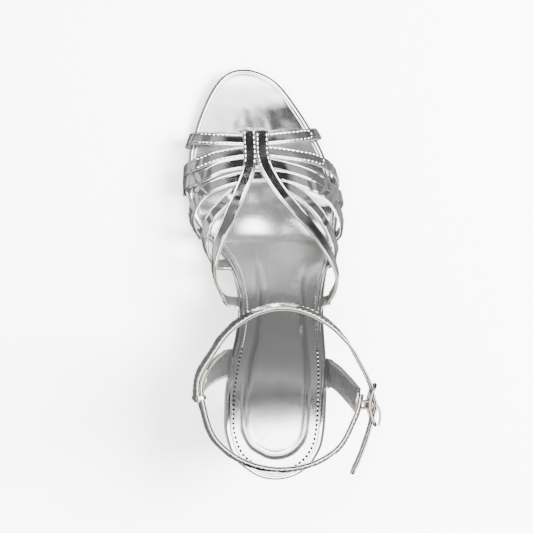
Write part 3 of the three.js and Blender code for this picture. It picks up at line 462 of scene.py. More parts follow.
def ankle_strip():
    """Strip of the ankle strap: round the front, through the buckle, and the free tail."""
    points = [ring_point(turn, ANKLE_STRAP_THICKNESS) for turn in np.arange(-100, 67, 8.0)]
    half_x = (BAR_X + OVER_BAR_X) / 2

    def tail(share):
        swing = math.radians(15 + 6 * share)
        return (BAR_X - 0.5 - TAIL_LENGTH * share * math.sin(swing),
                REAR_BAR_Y - 1.5 - TAIL_LENGTH * share * math.cos(swing), STRIP_MIDDLE)

    points += [(BAR_X, FRONT_BAR_Y, STRIP_MIDDLE), (half_x, (FRONT_BAR_Y + BAR_Y) / 2, STRIP_MIDDLE),
               (OVER_BAR_X, BAR_Y, STRIP_MIDDLE), (half_x, (REAR_BAR_Y + BAR_Y) / 2, STRIP_MIDDLE),
               (BAR_X, REAR_BAR_Y, STRIP_MIDDLE), tail(0.25), tail(0.6), tail(1.0)]
    share = even_shares(lambda s: centripetal_spline(points, s), STRIP_STEP)
    centre = centripetal_spline(points, share)
    lean_end = ring_point(66, 0)[1]
    passed = np.where(centre[:, 0] > RING_CENTRE[0], (lean_end - centre[:, 1]) / 14 + 1, 0)
    strip = upright_strip(centre, ANKLE_LEAN * (1 - np.clip(passed, 0, 1)), ANKLE_STRAP_WIDTH)
    left = strip.length[-1] - strip.length
    tip = np.clip(left / TIP_LENGTH, 0, 1)
    strip.width *= 0.35 + 0.65 * np.sqrt(1 - (1 - tip) ** 2)
    return strip


# Meshes

def new_object(name, vertices, faces, materials, face_materials=None, shift=True):
    """Mesh object from points in millimetres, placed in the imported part's frame."""
    vertices = np.array(vertices, float).reshape(-1, 3)
    if shift:
        vertices = vertices + (SHIFT, 0, 0)
    mesh = bpy.data.meshes.new(name)
    mesh.from_pydata((vertices * MM).tolist(), [], [tuple(int(i) for i in face) for face in faces])
    for material in materials:
        mesh.materials.append(material)
    if face_materials is not None:
        mesh.polygons.foreach_set("material_index", np.asarray(face_materials, np.int32))
    mesh.polygons.foreach_set("use_smooth", np.ones(len(mesh.polygons), bool))
    piece = bpy.data.objects.new(name, mesh)
    bpy.context.scene.collection.objects.link(piece)
    return piece


def weld(piece, distance=0.02):
    """Merges the piece's doubled points, if a distance is given, and turns its faces outwards."""
    edit = bmesh.new()
    edit.from_mesh(piece.data)
    if distance:
        bmesh.ops.remove_doubles(edit, verts=edit.verts, dist=distance * MM)
        bmesh.ops.dissolve_degenerate(edit, edges=edit.edges, dist=0.001 * MM)
    bmesh.ops.recalc_face_normals(edit, faces=edit.faces)
    edit.to_mesh(piece.data)
    edit.free()
    return piece


def evaluated_mesh(piece):
    """Plain mesh of what the piece's modifiers make."""
    bpy.context.view_layer.update()
    graph = bpy.context.evaluated_depsgraph_get()
    return bpy.data.meshes.new_from_object(piece.evaluated_get(graph))


def apply_modifiers(piece):
    """Makes what the piece's modifiers give its own mesh."""
    mesh = evaluated_mesh(piece)
    piece.modifiers.clear()
    piece.data = mesh


def grid_faces(rows, columns, closed_rows=False):
    """Quads of a grid whose columns close round; rows close too where asked."""
    faces = []
    for row in range(rows if closed_rows else rows - 1):
        low, high = row * columns, ((row + 1) % rows) * columns
        for i in range(columns):
            j = (i + 1) % columns
            faces.append((low + i, low + j, high + j, high + i))
    return faces


# SEAM faces, the groove between a strap's two layers, are painted near-black as shade
FACE, EDGE, LINING, SEAM = 0, 1, 2, 3
# Width below which a strap's half sections are drawn together
NARROWEST_FULL_WIDTH = 2 * 2.45 + 0.4
# Half sections of a strap from its edge to its middle. inset: from the edge; lift: over its face, -1: lining
CUT_EDGE = [(0.46, -1.00, LINING), (0.18, -1.54, LINING), (0.03, -1.44, EDGE), (0.00, -1.26, EDGE),
            (0.04, -1.06, EDGE), (0.18, -0.94, EDGE), (0.36, -0.88, SEAM), (0.36, -0.80, SEAM),
            (0.16, -0.72, FACE), (0.03, -0.58, FACE), (-0.02, -0.42, FACE), (0.02, -0.26, FACE),
            (0.12, -0.11, FACE), (0.28, -0.02, FACE), (0.46, 0.03, FACE), (0.64, 0.00, FACE),
            (0.78, -0.08, FACE), (0.90, -0.15, FACE), (1.02, -0.15, FACE), (1.14, -0.06, FACE),
            (1.32, 0.00, FACE), (1.70, 0.015, FACE), (2.40, 0.025, FACE)]
BAND_EDGE = [(0.46, -1.00, LINING), (0.16, -1.54, LINING), (0.03, -1.48, EDGE), (0.00, -1.32, EDGE),
             (0.08, -1.18, EDGE), (0.36, -1.10, SEAM), (0.38, -0.72, SEAM), (0.10, -0.62, FACE),
             (0.00, -0.52, FACE), (0.00, -0.36, FACE), (0.08, -0.20, FACE), (0.20, -0.08, FACE),
             (0.42, 0.00, FACE), (0.60, -0.02, FACE), (0.78, -0.10, FACE), (0.90, -0.14, FACE),
             (1.04, -0.12, FACE), (1.20, -0.02, FACE), (1.70, 0.02, FACE), (2.40, 0.03, FACE)]
FOLDED_EDGE = [(0.50, -1.00, LINING), (0.14, -1.58, FACE), (0.00, -1.20, FACE), (-0.03, -0.66, FACE),
               (0.00, -0.34, FACE), (0.08, -0.12, FACE), (0.22, 0.01, FACE), (0.38, 0.04, FACE),
               (0.54, 0.01, FACE), (0.66, -0.09, FACE), (0.76, -0.15, FACE), (0.86, -0.13, FACE),
               (0.98, -0.02, FACE), (1.14, 0.03, FACE), (1.34, 0.01, FACE), (1.70, 0.01, FACE),
               (2.45, 0.02, FACE)]


def strap_piece(name, strip, thickness, section, materials, relief=None, closed=False):
    """A strap with turned or cut edges, a groove inside each edge and a soft crown.

    relief gives how far the face is raised at each length along and share across, from -1 to 1.
    """
    inset = np.array([row[0] for row in section])
    lift = np.array([row[1] for row in section])
    kind = [row[2] for row in section]
    lift = np.where(lift == -1, -thickness, np.maximum(lift, 0.12 - thickness))
    middle = len(section)
    inset = np.concatenate([inset, inset[::-1]])
    lift = np.concatenate([lift, lift[::-1]])
    side = np.concatenate([-np.ones(middle), np.ones(middle)])
    scale = np.minimum(1, strip.width / NARROWEST_FULL_WIDTH)[:, None]
    offset = side * (strip.width[:, None] / 2 - inset * scale)
    height = np.broadcast_to(thickness + np.maximum(lift, -thickness), offset.shape).copy()
    if relief is not None:
        share = offset / (strip.width[:, None] / 2)
        top = np.clip(height / thickness, 0, 1)
        height = height + relief(strip.length[:, None], share) * top
    points = (strip.centre[:, None] + strip.across[:, None] * offset[..., None]
              + strip.out[:, None] * height[..., None])
    rows, columns = offset.shape
    faces = grid_faces(rows, columns, closed)
    ring_kind = kind[1:] + [FACE] + kind[:0:-1] + [LINING]
    kinds = ring_kind * (rows if closed else rows - 1)
    if not closed:
        faces += [tuple(range(columns))[::-1], tuple(range((rows - 1) * columns, rows * columns))]
        kinds += [FACE, FACE]
    return weld(new_object(name, points.reshape(-1, 3), faces, materials, kinds), 0)


def ripple(seed, amount):
    """Slight unevenness along a strap, different for each seed."""
    waves = [(5.3, 0.7), (8.9, 1.0), (14.0, 1.2)]

    def lift(length, share):
        total = 0
        for k, (pitch, strength) in enumerate(waves):
            phase = 1.7 * seed + 2.3 * k
            swing = 2 * math.pi * length / pitch + phase + (1.1 + 0.4 * k) * share
            total = total + strength * np.sin(swing)
        return amount * total / len(waves)

    return lift


# Wrinkles where the front straps turn down. angle: place round the foot; slant: turn across the strap
WRINKLES = {
    0: [(-72, -0.22, 1.3, 1.1), (-58, -0.12, 1.6, -0.9), (74, -0.22, 1.3, 1.0), (88, -0.20, 1.5, -0.8)],
    1: [(-92, -0.30, 1.5, 1.4), (-66, -0.40, 1.2, -1.6), (-52, -0.24, 1.5, 1.3), (62, -0.24, 1.5, -1.2),
        (76, -0.34, 1.2, 1.4), (100, -0.25, 1.8, -1.0)],
    2: [(-88, -0.35, 1.3, -1.3), (-70, -0.42, 1.1, 1.6), (-56, -0.30, 1.3, -1.5), (-43, -0.20, 1.6, 1.2),
        (44, -0.30, 1.2, 1.4), (54, -0.36, 1.1, -1.6), (72, -0.34, 1.5, 1.3), (96, -0.26, 1.9, -1.0)],
    3: [(-92, -0.28, 1.7, 1.4), (-74, -0.34, 1.3, -1.5), (-60, -0.40, 1.2, 1.6), (-49, -0.32, 1.2, -1.5),
        (38, -0.26, 1.4, -1.3), (49, -0.32, 1.2, 1.5), (60, -0.34, 1.3, -1.5), (78, -0.26, 1.6, 1.2)],
    4: [(-84, -0.26, 1.5, 1.3), (-62, -0.34, 1.2, -1.5), (-47, -0.34, 1.3, 1.4), (-36, -0.26, 1.2, -1.3)],
    5: [(34, -0.28, 1.3, 1.4), (46, -0.30, 1.3, -1.5), (60, -0.22, 1.7, 1.2)],
}


def wrinkled(strap, strip, amount):
    """Relief of a front strap: its wrinkles and a slight unevenness."""
    even = ripple(strap, amount)
    rows = []
    for angle, depth, spread, slant in WRINKLES.get(strap, []):
        rows.append((float(np.interp(angle, strip.angle, strip.length)), depth, spread, slant))

    def lift(length, share):
        total = even(length, share)
        for place, depth, spread, slant in rows:
            away = (length - place - slant * share) / spread
            trough = np.exp(-away * away)
            ridge = np.exp(-((np.abs(away) - 1.9) / 0.8) ** 2)
            total = total + depth * (trough - 0.45 * ridge) * (1 - 0.55 * share * share)
        return total

    return lift


def tube_piece(name, points, radius, sides, materials, closed=False, flatten=1.0):
    """Round or flattened wire along points."""
    points = np.asarray(points, float)
    if closed:
        along = unit(np.roll(points, -1, 0) - np.roll(points, 1, 0))
    else:
        along = unit(np.gradient(points, axis=0))
    flat = unit(np.cross(along, np.broadcast_to((1.0, 0.0, 0.0), along.shape)) + 1e-9)
    other = np.cross(along, flat)
    radius = np.broadcast_to(np.asarray(radius, float), len(points))
    turn = np.linspace(0, 2 * math.pi, sides, endpoint=False)
    ring = (flat[:, None] * np.cos(turn)[None, :, None]
            + other[:, None] * (np.sin(turn) * flatten)[None, :, None])
    vertices = points[:, None] + ring * radius[:, None, None]
    faces = grid_faces(len(points), sides, closed)
    if not closed:
        last = (len(points) - 1) * sides
        faces += [tuple(range(sides))[::-1], tuple(range(last, last + sides))]
    return weld(new_object(name, vertices.reshape(-1, 3), faces, materials), 0.001)


# Soles

OUTLINE_STATIONS = 210
SPINE_HEEL_AT, SPINE_TOE_AT = 0.125, 0.86


def outline_ats():
    station = np.arange(2 * OUTLINE_STATIONS)
    station = np.where(station <= OUTLINE_STATIONS, station, 2 * OUTLINE_STATIONS - station)
    return (1 - np.cos(math.pi * station / OUTLINE_STATIONS)) / 2


def outline_ring(inset):
    """Points round the sole, moved inwards by a distance."""
    at = outline_ats()
    inner = np.arange(len(at)) <= OUTLINE_STATIONS
    edge = np.stack([np.where(inner, medial_edge(at), lateral_edge(at)), y_at(at)], -1)
    along = unit(np.roll(edge, -1, 0) - np.roll(edge, 1, 0))
    return edge + np.stack([along[:, 1], -along[:, 0]], -1) * inset


def spine_ring():
    at = np.clip(outline_ats(), SPINE_HEEL_AT, SPINE_TOE_AT)
    return np.stack([(medial_edge(at) + lateral_edge(at)) / 2, y_at(at)], -1)


def sole_piece(name, rows, top_insets, materials, base_depth, relief=None, seam_at=None):
    """A sole layer. rows: (inset, depth) up its side; then its top runs in to the middle line.

    relief raises the top by the inset, the share of the length and the side. seam_at is the
    share of the length behind which the second material lies.
    """
    top_depth = rows[-1][1]
    levels = [(outline_ring(inset), inset, depth) for inset, depth in rows]
    levels += [(outline_ring(inset), inset, top_depth) for inset in top_insets]
    edge, spine = levels[-1][0], spine_ring()
    for share in np.linspace(0, 1, 10)[1:]:
        levels.append((edge + (spine - edge) * share, levels[-1][1] + 1.0, top_depth))
    vertices = []
    columns = len(spine)
    side = np.where(np.arange(columns) <= OUTLINE_STATIONS, -1.0, 1.0)
    for k, (ring, inset, depth) in enumerate(levels):
        at = at_y(ring[:, 1])
        z = sole_height(at, depth)
        if relief is not None and k >= len(rows) - 1:
            z = z + relief(np.full(len(at), inset), at, side)
        vertices.append(np.column_stack([ring, z]))
    vertices.append(np.column_stack([spine, sole_height(at_y(spine[:, 1]), base_depth)]))
    faces = grid_faces(len(levels), columns)
    bottom = len(levels) * columns
    faces += [(bottom + i, bottom + (i + 1) % columns, (i + 1) % columns, i) for i in range(columns)]
    vertices = np.vstack(vertices)
    centre = np.array([np.mean(vertices[list(face), 1]) for face in faces])
    kinds = np.zeros(len(faces), int) if seam_at is None else (at_y(centre) < seam_at).astype(int)
    return weld(new_object(name, vertices, faces, materials, kinds))


# Places of the pad's groove. medial, lateral: distance in from the insole's edge
GROOVE = table("at medial lateral", [
    (0.00, 13.6, 13.6), (0.05, 12.4, 12.4), (0.12, 10.0, 10.3), (0.25, 10.0, 10.3), (0.35, 10.8, 10.9),
    (0.45, 12.6, 11.0), (0.54, 14.4, 11.4), (1.00, 14.6, 11.4),
])
groove_medial = smooth(GROOVE, "at", "medial")
groove_lateral = smooth(GROOVE, "at", "lateral")
GROOVE_HALF_WIDTH, SEAM_SPREAD = 2.5, 0.38
HEEL_PAD, HEEL_DISH, BALL_PAD, TOE_PAD, SEAM_DEPTH = 0.4, 0.5, 2.4, 0.3, 0.05
SOCK_EDGE_INSET = 3.5
SATIN_FRONT_AT, STITCH_FRONT_AT, WAIST_STITCH_AT = 0.70, 0.69, 0.30


def sock_relief(sizes):
    """How far the sock's top is raised: heel pad in its groove, dish under the heel, ball and toe pads."""
    def lift(inset, at, side):
        groove = np.where(side < 0, groove_medial(at), groove_lateral(at))
        fade = 1 - ramp(at, 0.34, 0.22)
        away = inset - groove
        bend = np.clip(away / GROOVE_HALF_WIDTH, -1, 1) * math.pi / 2
        channel = -sizes.groove_depth / MM * np.cos(bend) ** 2
        total = (channel + HEEL_PAD * ramp(away, 0.5, 3.5)) * (fade * (0.35 + 0.65 * fade))
        back = np.clip((SATIN_FRONT_AT - at) / 0.01, 0, 1)
        seam = (inset - sizes.stitch_inset / MM) / SEAM_SPREAD
        total = total - SEAM_DEPTH * np.exp(-(seam * seam)) * back
        dish = ramp(inset, SOCK_EDGE_INSET, 12)
        total = total - HEEL_DISH * dish * dish * np.exp(-(((at - 0.15) / 0.14) ** 2))
        total = total + BALL_PAD * ease(ramp(at, 0.560, 0.066)) * (1 - ease(ramp(at, 0.632, 0.09)))
        return total + TOE_PAD * ramp(at, 0.72, 0.2) * ramp(inset, SOCK_EDGE_INSET, 14) ** 0.7

    return lift


def paint_groove_shade(piece):
    """Stores how deep each point of the sock lies in the groove round the pad, for the shade painted there into
    its tone.
    """
    count = len(piece.data.vertices)
    points = np.empty(count * 3)
    piece.data.vertices.foreach_get("co", points)
    points = points.reshape(-1, 3)[:, :2] / MM - (SHIFT, 0)
    gap = points[:, None] - outline_ring(0)[None]
    inset = np.min(np.hypot(gap[..., 0], gap[..., 1]), axis=1)
    at = at_y(points[:, 1])
    middle = (medial_edge(at) + lateral_edge(at)) / 2
    groove = np.where(points[:, 0] < middle, groove_medial(at), groove_lateral(at))
    depth = np.clip(1 - np.abs(inset - groove) / 2.4, 0, 1)
    fade = 1 - ramp(at, 0.36, 0.22)
    layer = piece.data.attributes.new("groove_shade", "FLOAT", "POINT")
    layer.data.foreach_set("value", (depth * fade).astype(np.float32))


def stitch_ring(inset, lift):
    """Line on the sock's top from one side of the ball round the heel to the other."""
    ring = np.roll(outline_ring(inset), -OUTLINE_STATIONS, 0)
    at = at_y(ring[:, 1])
    return np.column_stack([ring, sole_height(at, SOCK_TOP) + lift])[at < STITCH_FRONT_AT]


# Node trees and shader maths

class Wire:
    """A socket that takes Python arithmetic."""

    def __init__(self, tree, socket):
        self.tree, self.socket = tree, socket

    def __add__(self, other):
        return self.tree.maths("ADD", self, other)

    def __radd__(self, other):
        return self.tree.maths("ADD", other, self)

    def __sub__(self, other):
        return self.tree.maths("SUBTRACT", self, other)

    def __rsub__(self, other):
        return self.tree.maths("SUBTRACT", other, self)

    def __mul__(self, other):
        return self.tree.maths("MULTIPLY", self, other)

    def __rmul__(self, other):
        return self.tree.maths("MULTIPLY", other, self)

    def between(self, low, high):
        """0 below low, 1 above high, smooth in between."""
        return self.tree.node(
            "ShaderNodeMapRange", {"interpolation_type": "SMOOTHSTEP"},
            {"Value": self, "From Min": low, "From Max": high})


class Nodes:
    """A node tree and the method that makes its nodes."""

    def __init__(self, tree):
        self.tree = tree

    def make(self, kind, settings=None, values=None):
        node = self.tree.nodes.new(kind)
        for name, value in (settings or {}).items():
            setattr(node, name, value)
        for name, value in (values or {}).items():
            if isinstance(value, Wire):
                self.tree.links.new(value.socket, node.inputs[name])
            else:
                node.inputs[name].default_value = value
        return node

    def node(self, kind, settings=None, values=None, output=0):
        return Wire(self, self.make(kind, settings, values).outputs[output])


class Finish(Nodes):
    """A procedural material or world."""

    def __init__(self, owner):
        owner.use_nodes = True
        super().__init__(owner.node_tree)
        self.owner = owner
        self.tree.nodes.clear()

    def maths(self, operation, *values):
        return self.node("ShaderNodeMath", {"operation": operation}, dict(enumerate(values)))

    def coords(self, scale=(1, 1, 1)):
        place = self.node("ShaderNodeTexCoord", output="Object")
        return self.node("ShaderNodeMapping", {}, {"Vector": place, "Scale": scale})

    def noise(self, vector, size_mm, detail=3.0, roughness=0.5):
        values = {"Vector": vector, "Scale": 1 / (size_mm * MM), "Detail": detail, "Roughness": roughness}
        return self.node("ShaderNodeTexNoise", {}, values)

    def cells(self, vector, size_mm, feature="F1"):
        values = {"Vector": vector, "Scale": 1 / (size_mm * MM)}
        return self.node("ShaderNodeTexVoronoi", {"feature": feature}, values, "Distance")

    def blend(self, factor, first, second):
        """Mixes two colours, which are the Mix node's sockets 6 and 7."""
        return self.node("ShaderNodeMix", {"data_type": "RGBA"}, {0: factor, 6: first, 7: second}, 2)

    def bump(self, height, depth_mm, under=None):
        values = {"Height": height, "Distance": depth_mm * MM, "Strength": 1.0}
        if under is not None:
            values["Normal"] = under
        return self.node("ShaderNodeBump", {}, values)

    def surface(self, values):
        shader = self.node("ShaderNodeBsdfPrincipled", {}, values)
        self.make("ShaderNodeOutputMaterial", {}, {"Surface": shader})
        return self.owner


def shade(values, factor=1.0):
    """Opaque colour, darker or lighter by a factor."""
    return tuple(v * factor for v in values) + (1.0,)


def new_finish(name):
    return Finish(bpy.data.materials.new(name))


def mirror_leather(name, tint, wave_mm=6.0, wave=0.055):
    """Silver foil on leather: a mirror with a faint grain, soft waves and a few scuffs."""
    f = new_finish(name)
    place = f.coords()
    grain = f.noise(place, 0.55, 2.0, 0.55)
    waves = f.noise(place, wave_mm, 1.0, 0.4)
    cloud = f.noise(place, 14.0, 3.0, 0.5)
    scuff = f.noise(f.coords((1, 0.22, 1)), 1.6, 5.0, 0.7).between(0.66, 0.80)
    rough = 0.075 + cloud.between(0.35, 0.7) * 0.05 + scuff * 0.10
    tone = f.blend(cloud.between(0.3, 0.75), shade(tint), shade(tint, 0.90))
    tone = f.blend(scuff * 0.5, tone, shade(tint, 0.72))
    low = f.bump(waves, wave)
    high = f.bump(grain, 0.0025, low)
    return f.surface({"Base Color": tone, "Metallic": 1.0, "Roughness": rough, "Normal": high})


def satin_leather(name, tint):
    """Satin silver foil on fine-grained sock leather, with shade painted along the pad's groove."""
    f = new_finish(name)
    place = f.coords()
    pebbles = f.cells(place, 0.62, "SMOOTH_F1")
    grain = f.noise(place, 0.4, 4.0, 0.6)
    cloud = f.noise(place, 9.0, 4.0, 0.55)
    waves = f.noise(place, 22.0, 0.5, 0.4)
    rough = 0.15 + cloud.between(0.2, 0.9) * 0.04 + grain * 0.05
    tone = f.blend(cloud.between(0.2, 0.9), shade(tint), shade(tint, 0.92))
    tone = f.blend(grain.between(0.5, 0.8) * 0.35, tone, shade(tint, 0.82))
    # Painted shade: the tone darkens towards half the tint along the groove round the heel pad
    groove_shade = f.node("ShaderNodeAttribute", {"attribute_name": "groove_shade"}, output="Fac")
    tone = f.blend(groove_shade.between(0.0, 0.9) * 0.6, tone, shade(tint, 0.5))
    low = f.bump(waves, 0.45)
    high = f.bump(pebbles * 0.6 + grain * 0.5, 0.028, low)
    return f.surface({"Base Color": tone, "Metallic": 1.0, "Roughness": rough, "Normal": high})


def cut_edge(name, tint):
    """Raw edge of the strap leather under its foil: fibrous, in thin layers."""
    f = new_finish(name)
    place = f.coords()
    fibre = f.noise(place, 0.25, 4.0, 0.7)
    cloud = f.noise(place, 3.0, 3.0, 0.5)
    tone = f.blend(fibre.between(0.35, 0.7), shade(tint), shade(tint, 0.72))
    tone = f.blend(cloud.between(0.4, 0.8) * 0.4, tone, shade(tint, 0.85))
    relief = f.bump(fibre, 0.05)
    return f.surface({"Base Color": tone, "Roughness": 0.62 + fibre * 0.2, "Normal": relief})


def lining_leather(name, tint):
    """Grey satin lining with a fine pigskin-like grain."""
    f = new_finish(name)
    place = f.coords()
    pores = f.cells(place, 0.5)
    cloud = f.noise(place, 6.0, 3.0, 0.5)
    tone = f.blend(cloud.between(0.3, 0.8), shade(tint), shade(tint, 0.85))
    tone = f.blend(pores.between(0.1, 0.35), shade(tint, 0.7), tone)
    folds = f.noise(f.coords((1, 1, 0.3)), 3.6, 2.0, 0.5)
    relief = f.bump(pores, 0.03, f.bump(folds, 0.6))
    rough = 0.34 + cloud * 0.12
    return f.surface({"Base Color": tone, "Metallic": 0.9, "Roughness": rough, "Normal": relief})


def sewing_thread(name, tint):
    """Twisted sewing thread."""
    f = new_finish(name)
    twist = f.noise(f.coords(), 0.22, 3.0, 0.6)
    tone = f.blend(twist.between(0.3, 0.7), shade(tint), shade(tint, 0.78))
    return f.surface({"Base Color": tone, "Roughness": 0.5 + twist * 0.15, "Normal": f.bump(twist, 0.04)})


def painted_recess_shade(name):
    """Painted shade: near-black stand-in for the shade in a needle's dent beside a stitch and in the seam groove
    of a strap's cut edge.
    """
    f = new_finish(name)
    fibre = f.noise(f.coords(), 0.3, 3.0, 0.6)
    tone = f.blend(fibre, (0.010, 0.010, 0.010, 1), (0.003, 0.003, 0.003, 1))
    return f.surface({"Base Color": tone, "Roughness": 0.8 + fibre * 0.1, "Specular IOR Level": 0.0,
                      "Normal": f.bump(fibre, 0.03)})


def sole_leather(name, tint):
    """Smooth sole leather with long fibres, light scuffs and a rubbed tone."""
    f = new_finish(name)
    place = f.coords()
    fibre = f.noise(f.coords((1, 0.15, 1)), 0.8, 5.0, 0.65)
    cloud = f.noise(place, 18.0, 4.0, 0.55)
    scuff = f.noise(f.coords((0.3, 1, 1)), 2.2, 6.0, 0.7).between(0.62, 0.78)
    tone = f.blend(cloud.between(0.3, 0.75), shade(tint), shade(tint, 0.80))
    tone = f.blend(fibre.between(0.45, 0.75) * 0.35, tone, shade(tint, 0.62))
    tone = f.blend(scuff * 0.5, tone, shade(tint, 1.15))
    relief = f.bump(fibre + scuff * 0.4, 0.06)
    return f.surface({"Base Color": tone, "Roughness": 0.42 + scuff * 0.25 + fibre * 0.1, "Normal": relief})


def top_piece_rubber(name, tint):
    """Dense dark rubber with a fine moulded texture and lighter rubbed patches."""
    f = new_finish(name)
    place = f.coords()
    grit = f.noise(place, 0.35, 4.0, 0.65)
    cloud = f.noise(place, 5.0, 3.0, 0.5)
    tone = f.blend(cloud.between(0.3, 0.8), shade(tint), shade(tint, 1.9))
    relief = f.bump(grit, 0.05)
    return f.surface({"Base Color": tone, "Roughness": 0.55 + cloud * 0.2, "Specular IOR Level": 0.15,
                      "Normal": relief})


def polished_metal(name, tint):
    """Polished plated metal with hairline scratches."""
    f = new_finish(name)
    hair = f.noise(f.coords((1, 1, 8)), 0.9, 4.0, 0.7)
    cloud = f.noise(f.coords(), 2.5, 2.0, 0.5)
    tone = f.blend(cloud.between(0.35, 0.75), shade(tint), shade(tint, 0.86))
    rough = 0.24 + hair.between(0.5, 0.8) * 0.14
    return f.surface({"Base Color": tone, "Metallic": 1.0, "Roughness": rough, "Normal": f.bump(hair, 0.012)})


def studio_floor(name, tint):
    """Matt pale paper floor."""
    f = new_finish(name)
    place = f.coords()
    tooth = f.noise(place, 1.4, 4.0, 0.6)
    cloud = f.noise(place, 180.0, 3.0, 0.5)
    tone = f.blend(cloud.between(0.3, 0.8) * 0.4, shade(tint), shade(tint, 0.985))
    return f.surface({"Base Color": tone, "Roughness": 0.75 + tooth * 0.1, "Normal": f.bump(tooth, 0.02)})


# Stitches

STITCH_INPUTS = (("Geometry", "Geometry"), ("Pitch", "Float"), ("Start", "Float"), ("Length", "Float"),
                 ("Thickness", "Float"), ("Material", "Material"))
PAST_ANY_LINE = 1000.0


def stitch_tree():
    """Geometry nodes that set a stitch or a needle hole at every step along a line."""
    tree = bpy.data.node_groups.get("StitchLine")
    if tree is not None:
        return tree
    tree = bpy.data.node_groups.new("StitchLine", "GeometryNodeTree")
    for name, kind in STITCH_INPUTS:
        tree.interface.new_socket(name, in_out="INPUT", socket_type="NodeSocket" + kind)
    tree.interface.new_socket("Geometry", in_out="OUTPUT", socket_type="NodeSocketGeometry")
    g = Nodes(tree)
    given = g.make("NodeGroupInput").outputs
    line, pitch, start, length, thickness, material = (Wire(g, given[name]) for name, _ in STITCH_INPUTS)
    # Sockets 4 and 5 of the trim are its start and end as lengths
    part = g.node("GeometryNodeTrimCurve", {"mode": "LENGTH"}, {0: line, 4: start, 5: PAST_ANY_LINE})
    steps = g.node("GeometryNodeResampleCurve", {"mode": "LENGTH"}, {"Curve": part, "Length": pitch})
    ball = g.node("GeometryNodeMeshUVSphere", {}, {"Segments": 8, "Rings": 6, "Radius": 0.5})
    size = g.node("ShaderNodeCombineXYZ", {}, {"X": thickness, "Y": thickness, "Z": length})
    tangent = g.node("GeometryNodeInputTangent")
    turn = g.node("FunctionNodeAlignRotationToVector", {"axis": "Z"}, {"Vector": tangent})
    placed = g.node("GeometryNodeInstanceOnPoints", {},
                    {"Points": steps, "Instance": ball, "Rotation": turn, "Scale": size})
    real = g.node("GeometryNodeRealizeInstances", {}, {"Geometry": placed})
    dressed = g.node("GeometryNodeSetMaterial", {}, {"Geometry": real, "Material": material})
    soft = g.node("GeometryNodeSetShadeSmooth", {}, {"Geometry": dressed})
    g.make("NodeGroupOutput", {}, {"Geometry": soft})
    return tree


def stitched(name, lines, material, pitch, start, length, thickness, slot):
    """Bakes a stitch line along each polyline into one plain mesh that rides with the shoe."""
    curve = bpy.data.curves.new(name + "_line", "CURVE")
    curve.dimensions = "3D"
    for points in lines:
        spline = curve.splines.new("POLY")
        spline.points.add(len(points) - 1)
        flat = np.column_stack([(points + (SHIFT, 0, 0)) * MM, np.ones(len(points))])
        spline.points.foreach_set("co", flat.ravel())
    guide = bpy.data.objects.new(name + "_line", curve)
    bpy.context.scene.collection.objects.link(guide)
    tree = stitch_tree()
    modifier = guide.modifiers.new("Stitches", "NODES")
    modifier.node_group = tree
    inputs = {item.name: item.identifier for item in tree.interface.items_tree
              if item.item_type == "SOCKET" and item.in_out == "INPUT"}
    for key, value in (("Pitch", pitch), ("Start", start), ("Length", length), ("Thickness", thickness),
                       ("Material", material)):
        modifier[inputs[key]] = value
    mesh = evaluated_mesh(guide)
    mesh.name = name
    bpy.data.objects.remove(guide)
    piece = bpy.data.objects.new(name, mesh)
    bpy.context.scene.collection.objects.link(piece)
    settle(piece, slot)


# Where the first needle hole lies on a line, in metres
FIRST_HOLE = 0.0001


def stitch_line(name, lines, sizes, made, thread="thread", weight=1.0):
    """Thread along lines, and needle holes painted near-black as their shade."""
    pitch = sizes.stitch_pitch
    stitched(name, lines, made[thread], pitch, pitch * 0.5, sizes.stitch_length, sizes.thread * weight,
             "mirror_leather")
    stitched(name + "_holes", lines, made["hole"], pitch, FIRST_HOLE, sizes.thread * 1.3, sizes.thread,
             "mirror_leather")


FINISHES = {}


def finishes(context):
    """The materials, made once from the colours in the panel."""
    if not FINISHES:
        looks = context.scene.sandal_looks
        FINISHES.update({
            "mirror": mirror_leather("MirrorLeather", looks.mirror),
            "toe": mirror_leather("MirrorToe", looks.mirror, 11.0, 0.16),
            "satin": satin_leather("SatinSock", looks.satin),
            "edge": cut_edge("CutEdge", looks.cut_edge),
            "lining": lining_leather("StrapLining", looks.lining),
            "thread": sewing_thread("Thread", looks.thread),
            "grey_thread": sewing_thread("GreyThread", looks.satin),
            # Near-black painted shade for the needle holes and the strap seams' grooves
            "hole": painted_recess_shade("PaintedRecessShade"),
            "sole": sole_leather("SoleLeather", looks.sole),
            "rubber": top_piece_rubber("TopPieceRubber", looks.rubber),
            "metal": polished_metal("BuckleMetal", looks.metal),
        })
    return FINISHES


def strap_looks(context):
    made = finishes(context)
    # The fourth finish, for the seam groove in the cut edge, is near-black painted shade
    return [made["mirror"], made["edge"], made["lining"], made["hole"]]


def settle(piece, slot, *nodes):
    """Rides the piece on the shoe and hides what it stands for. The slot is not used."""
    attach(piece, "root")
    if nodes:
        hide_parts(*nodes)


# Sizes and colours that a user would change

def length(name, description, default):
    return bpy.props.FloatProperty(
        name=name, description=description, default=default, unit="LENGTH", subtype="DISTANCE", precision=5)


def tint(name, description, default):
    return bpy.props.FloatVectorProperty(
        name=name, description=description, default=default, subtype="COLOR", size=3, min=0, max=1)


class SandalSizes(bpy.types.PropertyGroup):
    strap_width: length("Front strap width", "Width of the cross straps over the toes", 0.0066)
    yoke_width: length("Yoke strap width", "Width of the two straps that run back from the toes", 0.0068)
    stitch_inset: length("Sock stitch inset", "From the insole's edge to the sock's stitch line", 0.0046)
    groove_depth: length("Groove depth", "Depth of the soft groove round the heel pad", 0.0006)
    stitch_pitch: length("Stitch pitch", "From one stitch to the next", 0.0024)
    stitch_length: length("Stitch length", "Length of one stitch", 0.0017)
    thread: length("Thread", "Thickness of the sewing thread", 0.00055)
    ripple: length("Ripple", "Unevenness of the foil on the straps", 0.00003)


